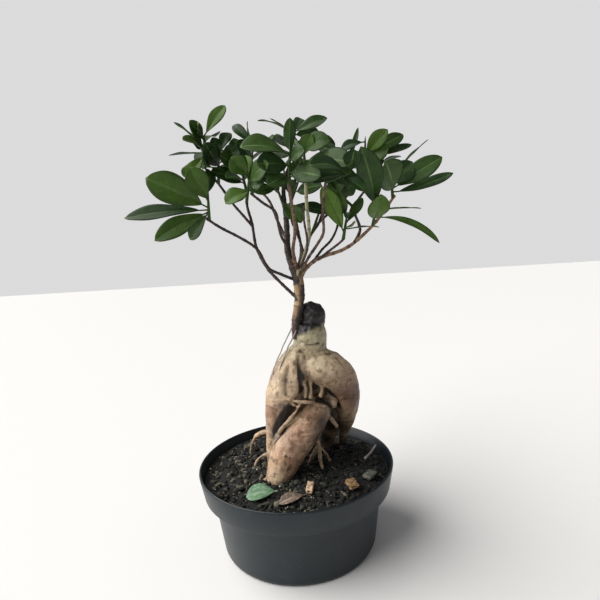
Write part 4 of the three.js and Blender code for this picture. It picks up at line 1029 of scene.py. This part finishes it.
# The waves of a leaf's edge: how high, and how they turn along and across it. Then its twist and droop.
LEAF_WAVES, WAVES_ALONG, WAVES_ACROSS = (0.25, 0.7), 9, 1.5
LEAF_TWISTS, LEAF_DROOPS = (-0.12, 0.12), (0, 0.9)
LEAF_THICKNESS = 0.45
LEAF_GRID = (10, 18)
OLD_LEAF_TONES, SHOOT_TONE = (0, 0.22), 0.5
STALK_RADII, STALK_TIP_RADIUS = (0.8, 0.55), 0.16
RIB_STATIONS = (0.5 * STALK_SHARE, STALK_SHARE, 0.2, 0.3, 0.45, 0.6, 0.75, 0.9)
SHOOT_RADII, SHOOT_STATIONS = (1.3, 0.7), (0, 0.3, 0.6, 0.85)
BUD_FOOT, BUD_FOOT_SHARE, BUD_TIP_RADIUS = 0.94, 0.8, 0.15
LEAF_SPAN = (0.28, 0.93)
VEIN_PAIRS, VEIN_SLANT = 9, 0.55
LEAF_COLOURS = {"old": "#1a3313", "young_and_lit": "#5a782c", "midrib": "#5d7a46", "vein": "#2f4a27",
                "margin": "#172913"}

leaf_dice = random.Random(5)


def between(ends, share):
    """The number at a share of the way from the first of two ends to the second."""
    return ends[0] + (ends[1] - ends[0]) * share


def leaf_frame(node, tip, face, arch=LEAF_ARCH_SHARE):
    """How a leaf lies: a function from the share of its length to its middle line, the direction
    across it and the direction that its upper side faces."""
    reach = tip - node
    along = reach.normalized()
    above = (face - along * face.dot(along)).normalized()
    rise = arch * reach.length
    return (lambda t: node + reach * t + above * (4 * t * (1 - t) * rise)), along.cross(above), above


def leaf_blade(middle, across, above, half):
    """One leaf blade: a folded and gently waved sheet with a wall."""
    bm = bmesh.new()
    bm.loops.layers.uv.new("leaf")
    bmesh.ops.create_grid(bm, x_segments=LEAF_GRID[0], y_segments=LEAF_GRID[1], size=1, calc_uvs=True)
    phase = leaf_dice.uniform(0, ANY_TURN)
    waves = leaf_dice.uniform(*LEAF_WAVES)
    twist = leaf_dice.uniform(*LEAF_TWISTS)
    droop = leaf_dice.uniform(*LEAF_DROOPS)
    for vert in bm.verts:
        side, blade = vert.co.x, (vert.co.y + 1) / 2
        spread = math.sin(math.pi * blade ** LEAF_WIDEST) ** LEAF_FULLNESS if 0 < blade < 1 else 0
        wide = side * half * spread
        lift = abs(wide) * LEAF_FOLD - MIDRIB_SINK * bell(wide, MIDRIB_WIDTH) * (1 - blade)
        lift += waves * side ** 2 * spread * math.sin(WAVES_ALONG * blade + phase + WAVES_ACROSS * side)
        lift += twist * wide - droop * blade ** 3
        vert.co = middle(between((STALK_SHARE, 1), blade)) + across * wide + above * lift
    bmesh.ops.remove_doubles(bm, verts=bm.verts, dist=HAIR)
    bmesh.ops.recalc_face_normals(bm, faces=bm.faces)
    if sum(face.normal.dot(above) for face in bm.faces) < 0:
        bmesh.ops.reverse_faces(bm, faces=bm.faces)
    bmesh.ops.solidify(bm, geom=bm.faces[:], thickness=LEAF_THICKNESS)
    return bm


def leaf_stalk(node, middle, above):
    """The stalk and the rib under the blade, as rows of x, y, z and radius."""
    rows = [(*node, STALK_RADII[0])]
    for t in RIB_STATIONS:
        beyond = max(t - STALK_SHARE, 0) / (1 - STALK_SHARE)
        place = middle(t) - above * (LEAF_THICKNESS * min(1, t / STALK_SHARE))
        rows.append((*place, between((STALK_RADII[1], STALK_TIP_RADIUS), beyond)))
    return rows


def leaf_map(owner):
    """Two patterns on a leaf: how far aside of its middle line a point is, and how far along it."""
    grid = add_node(owner, "SeparateXYZ", {"Vector": add_node(owner, "UVMap", uv_map="leaf")})
    centred = add_node(owner, "Math", {0: grid.outputs["X"], 1: 0.5}, operation="SUBTRACT")
    return add_node(owner, "Math", {0: centred}, operation="ABSOLUTE"), grid.outputs["Y"]


# Waxy leaf skin: a thick clear cuticle over dark green, with a pale sunk midrib, fine side veins and
# a darker edge. The green shoots and the stalks have the same skin, halfway between old and young.
glossy_leaf = new_material("glossy_fig_leaf")
tone = add_node(glossy_leaf, "Attribute", attribute_name="tone").outputs["Fac"]
place = add_node(glossy_leaf, "TexCoord").outputs["Object"]
aside, along = leaf_map(glossy_leaf)
slant = add_node(glossy_leaf, "Math", {0: aside, 1: -VEIN_SLANT, 2: along}, operation="MULTIPLY_ADD")
turns = add_node(glossy_leaf, "Math", {0: slant, 1: 2 * math.pi * VEIN_PAIRS}, operation="MULTIPLY")
wave = add_node(glossy_leaf, "Math", {0: turns}, operation="COSINE")
mottle = add_node(glossy_leaf, "TexNoise", {
    "Vector": place, "Scale": 1 / (6 * MM), "Detail": 5, "Roughness": 0.65})
shift = add_node(glossy_leaf, "MapRange", {
    "Value": mottle, "From Min": 0.3, "From Max": 0.7, "To Min": -0.1, "To Max": 0.14})
age_and_light = add_node(glossy_leaf, "Math", {0: tone, 1: shift}, operation="ADD", use_clamp=True)
colour = layered(glossy_leaf, linear(LEAF_COLOURS["old"]), [
    # Painted light and shade: each leaf's tone holds its age and how much light falls on it.
    (age_and_light, 0, 1, 1, LEAF_COLOURS["young_and_lit"]),
    (aside, 0.36, 0.5, 0.6, LEAF_COLOURS["margin"]),
    (wave, 0.8, 1, 0.45, LEAF_COLOURS["vein"]),
    (aside, 0.045, 0.012, 0.8, LEAF_COLOURS["midrib"]),
])
wax = add_node(glossy_leaf, "MapRange", {"Value": mottle, "To Min": 0.34, "To Max": 0.52})
texture = add_node(glossy_leaf, "Bump", {"Height": wave, "Strength": 0.1, "Distance": 0.15 * MM})
shader = add_node(glossy_leaf, "BsdfPrincipled", {
    "Base Color": colour, "Roughness": wax, "IOR": 1.47, "Specular IOR Level": 0.2, "Normal": texture})
add_node(glossy_leaf, "OutputMaterial", {"Surface": shader})

for name, (carrier, share, tip, leaves) in SHOOTS.items():
    foot = curve_place([Vector(point) for point in STEMS[carrier][2]], share)
    tip = Vector(tip)
    shoot = [(*foot.lerp(tip, t), between(SHOOT_RADII, t)) for t in SHOOT_STATIONS]
    bud = [(*foot.lerp(tip, BUD_FOOT), BUD_FOOT_SHARE * SHOOT_RADII[1]), (*tip, BUD_TIP_RADIUS)]
    blades, paths = [], [shoot + bud]
    for number, (start, x, y, z, face, width, *arch) in enumerate(leaves):
        node = foot.lerp(tip, between(LEAF_SPAN, start))
        middle, across, above = leaf_frame(node, Vector((x, y, z)), Vector(face), *arch)
        tone = LEAF_TONES.get(name, {}).get(number, leaf_dice.uniform(*OLD_LEAF_TONES))
        blades.append(leaf_blade(middle, across, above, width / 2))
        add_attribute(blades[-1], "tone", tone)
        paths.append(leaf_stalk(node, middle, above))
    stalks = tubes(paths, detail=1)
    add_attribute(stalks, "tone", SHOOT_TONE)
    add_piece("leafy_" + name, joined([*blades, stalks], name), glossy_leaf, [name])


# Aerial roots. Two thin dry roots that hang from the foot of the graft, as thick as coarse thread.
# Air and light have dried their skin to a pale grey, and each one sways a little as it hangs.
AERIAL_ROOTS = {
    "outer": [(4, -5, 170), (-3.5, -8, 157), (-8, -10, 148.5), (-13, -12, 138), (-15, -11, 128)],
    "inner": [(6, -6, 166), (0, -9, 156), (-4, -11, 148), (-8, -14, 139), (-9, -14, 132)],
}
AERIAL_ROOT_RADII = (0.55, 0.35)
AERIAL_ROOT_STATIONS = 24
SWAY, SWAY_LENGTH, SWAY_SEED = 0.4, 5, 3

# A noise vector differs with every run unless its seed is set.
noise.seed_set(SWAY_SEED)


def mottled(name, base, over, size, detail, start, full, roughness):
    """A plain matt material with a base colour that a noise of a size in mm covers in patches."""
    material = new_material(name)
    place = add_node(material, "TexCoord").outputs["Object"]
    mottle = add_node(material, "TexNoise", {"Vector": place, "Scale": 1 / (size * MM), "Detail": detail})
    colour = layered(material, linear(base), [(mottle, start, full, 1, over)])
    shader = add_node(material, "BsdfPrincipled", {"Base Color": colour, "Roughness": roughness})
    add_node(material, "OutputMaterial", {"Surface": shader})
    return material


# Dry root skin: fully matt and streaked.
dry_root = mottled("dry_aerial_root_skin", "#a9a3a0", "#7d7472",
                   size=2, detail=4, start=0, full=1, roughness=0.85)
for name, points in AERIAL_ROOTS.items():
    wavy = []
    rows = smooth_rows([(*point, 0) for point in points], AERIAL_ROOT_STATIONS)
    for i, (x, y, z, _) in enumerate(rows):
        sway = noise.noise_vector(Vector((x, y, z)) / SWAY_LENGTH) * SWAY
        wavy.append((x + sway.x, y + sway.y, z, between(AERIAL_ROOT_RADII, i / len(rows))))
    add_piece("fine_root_" + name, mesh_of(tubes([wavy]), name), dry_root,
              ["aerial_root_" + name])


# Fallen leaves. One still green and one dried brown and curled, both lying on the soil. Each has
# the place of its stalk's foot and of its tip, the way it faces, its width and its two colours.
FALLEN_LEAVES = {
    "green": ((-14, -43, 60.9), (-36, -45, 59.9), (0, -0.3, 1), 16, "#4f7354", "#8aa58b"),
    "brown": ((5, -50, 60.8), (-13, -57, 59.8), (0.1, -0.1, 1), 11, "#57483c", "#a08d7e"),
}

for name, (foot, tip, face, width, leaf_colour, dust_colour) in FALLEN_LEAVES.items():
    # A fallen leaf has lost its shine: dull and dusty, with a paler rib.
    dusty_leaf = new_material("fallen_" + name + "_leaf")
    place = add_node(dusty_leaf, "TexCoord").outputs["Object"]
    aside, _ = leaf_map(dusty_leaf)
    rib = add_node(dusty_leaf, "MapRange", {"Value": aside, "From Min": 0.08, "From Max": 0.02})
    dust = add_node(dusty_leaf, "TexNoise", {"Vector": place, "Scale": 1 / (2.5 * MM), "Detail": 5})
    dusted = add_node(dusty_leaf, "MapRange", {"Value": dust, "From Min": 0.45, "From Max": 0.8})
    cover = add_node(dusty_leaf, "Math", {0: rib, 1: dusted}, operation="MAXIMUM")
    colour = layered(dusty_leaf, linear(leaf_colour), [(cover, 0, 1, 1, dust_colour)])
    shader = add_node(dusty_leaf, "BsdfPrincipled", {"Base Color": colour, "Roughness": 0.65})
    add_node(dusty_leaf, "OutputMaterial", {"Surface": shader})
    middle, across, above = leaf_frame(Vector(foot), Vector(tip), Vector(face))
    blade = leaf_blade(middle, across, above, width / 2)
    stalk = tubes([leaf_stalk(Vector(foot), middle, above)], detail=1)
    add_piece("fallen_" + name, joined([blade, stalk], name), dusty_leaf,
              ["fallen_leaf_" + name])


# Twig and bark chips. Bits of broken wood and pine bark lying on the soil. Each chip has its place,
# its size, its turn and its two colours.
TWIG, TWIG_STATIONS = [(54, -4, 60.7, 1.1), (61, 8, 59.6, 1), (67, 19, 59.8, 0.9)], 14
CHIPS = {
    "tan": ((38, -41, 61.2), (7, 11, 3.6), 0.2, "#9c7c55", "#2c211a"),
    "pale": ((8.5, -43, 62), (4.4, 13, 3.4), -0.15, "#cfb596", "#7d5f4a"),
    "grey": ((53, -29, 60.3), (11, 7, 3.4), 0.9, "#62665a", "#3b3b34"),
}
CHIP_CUTS, CHIP_SMOOTHING = 5, 2
CHIP_ROUGHNESS, CHIP_LUMPS = 0.16, 2.5
CHIP_FLATNESS = 0.8

add_piece("broken_twig", mesh_of(tubes([smooth_rows(TWIG, TWIG_STATIONS)]), "twig"), dry_root,
          ["twig_on_soil"])
for name, (place, (wide, deep, high), turn, face_colour, edge_colour) in CHIPS.items():
    # Broken bark: matt, in layers, paler where it split.
    split_bark = mottled("split_" + name + "_bark", face_colour, edge_colour,
                         size=1.6, detail=5, start=0.4, full=0.65, roughness=0.85)
    chip = bmesh.new()
    bmesh.ops.create_cube(chip, size=1)
    bmesh.ops.subdivide_edges(chip, edges=chip.edges[:], cuts=CHIP_CUTS, use_grid_fill=True)
    smooth_points(chip, CHIP_SMOOTHING)
    for vert in chip.verts:
        lump = noise.noise(vert.co * CHIP_LUMPS + Vector(place))
        vert.co += vert.co.normalized() * CHIP_ROUGHNESS * lump
        vert.co *= Vector((wide, deep, high * CHIP_FLATNESS))
    bmesh.ops.rotate(chip, verts=chip.verts, matrix=Matrix.Rotation(turn, 3, "Z"))
    bmesh.ops.translate(chip, verts=chip.verts, vec=place)
    add_piece("chip_" + name, mesh_of(chip, "chip_" + name), split_bark,
              ["bark_chip_" + name])
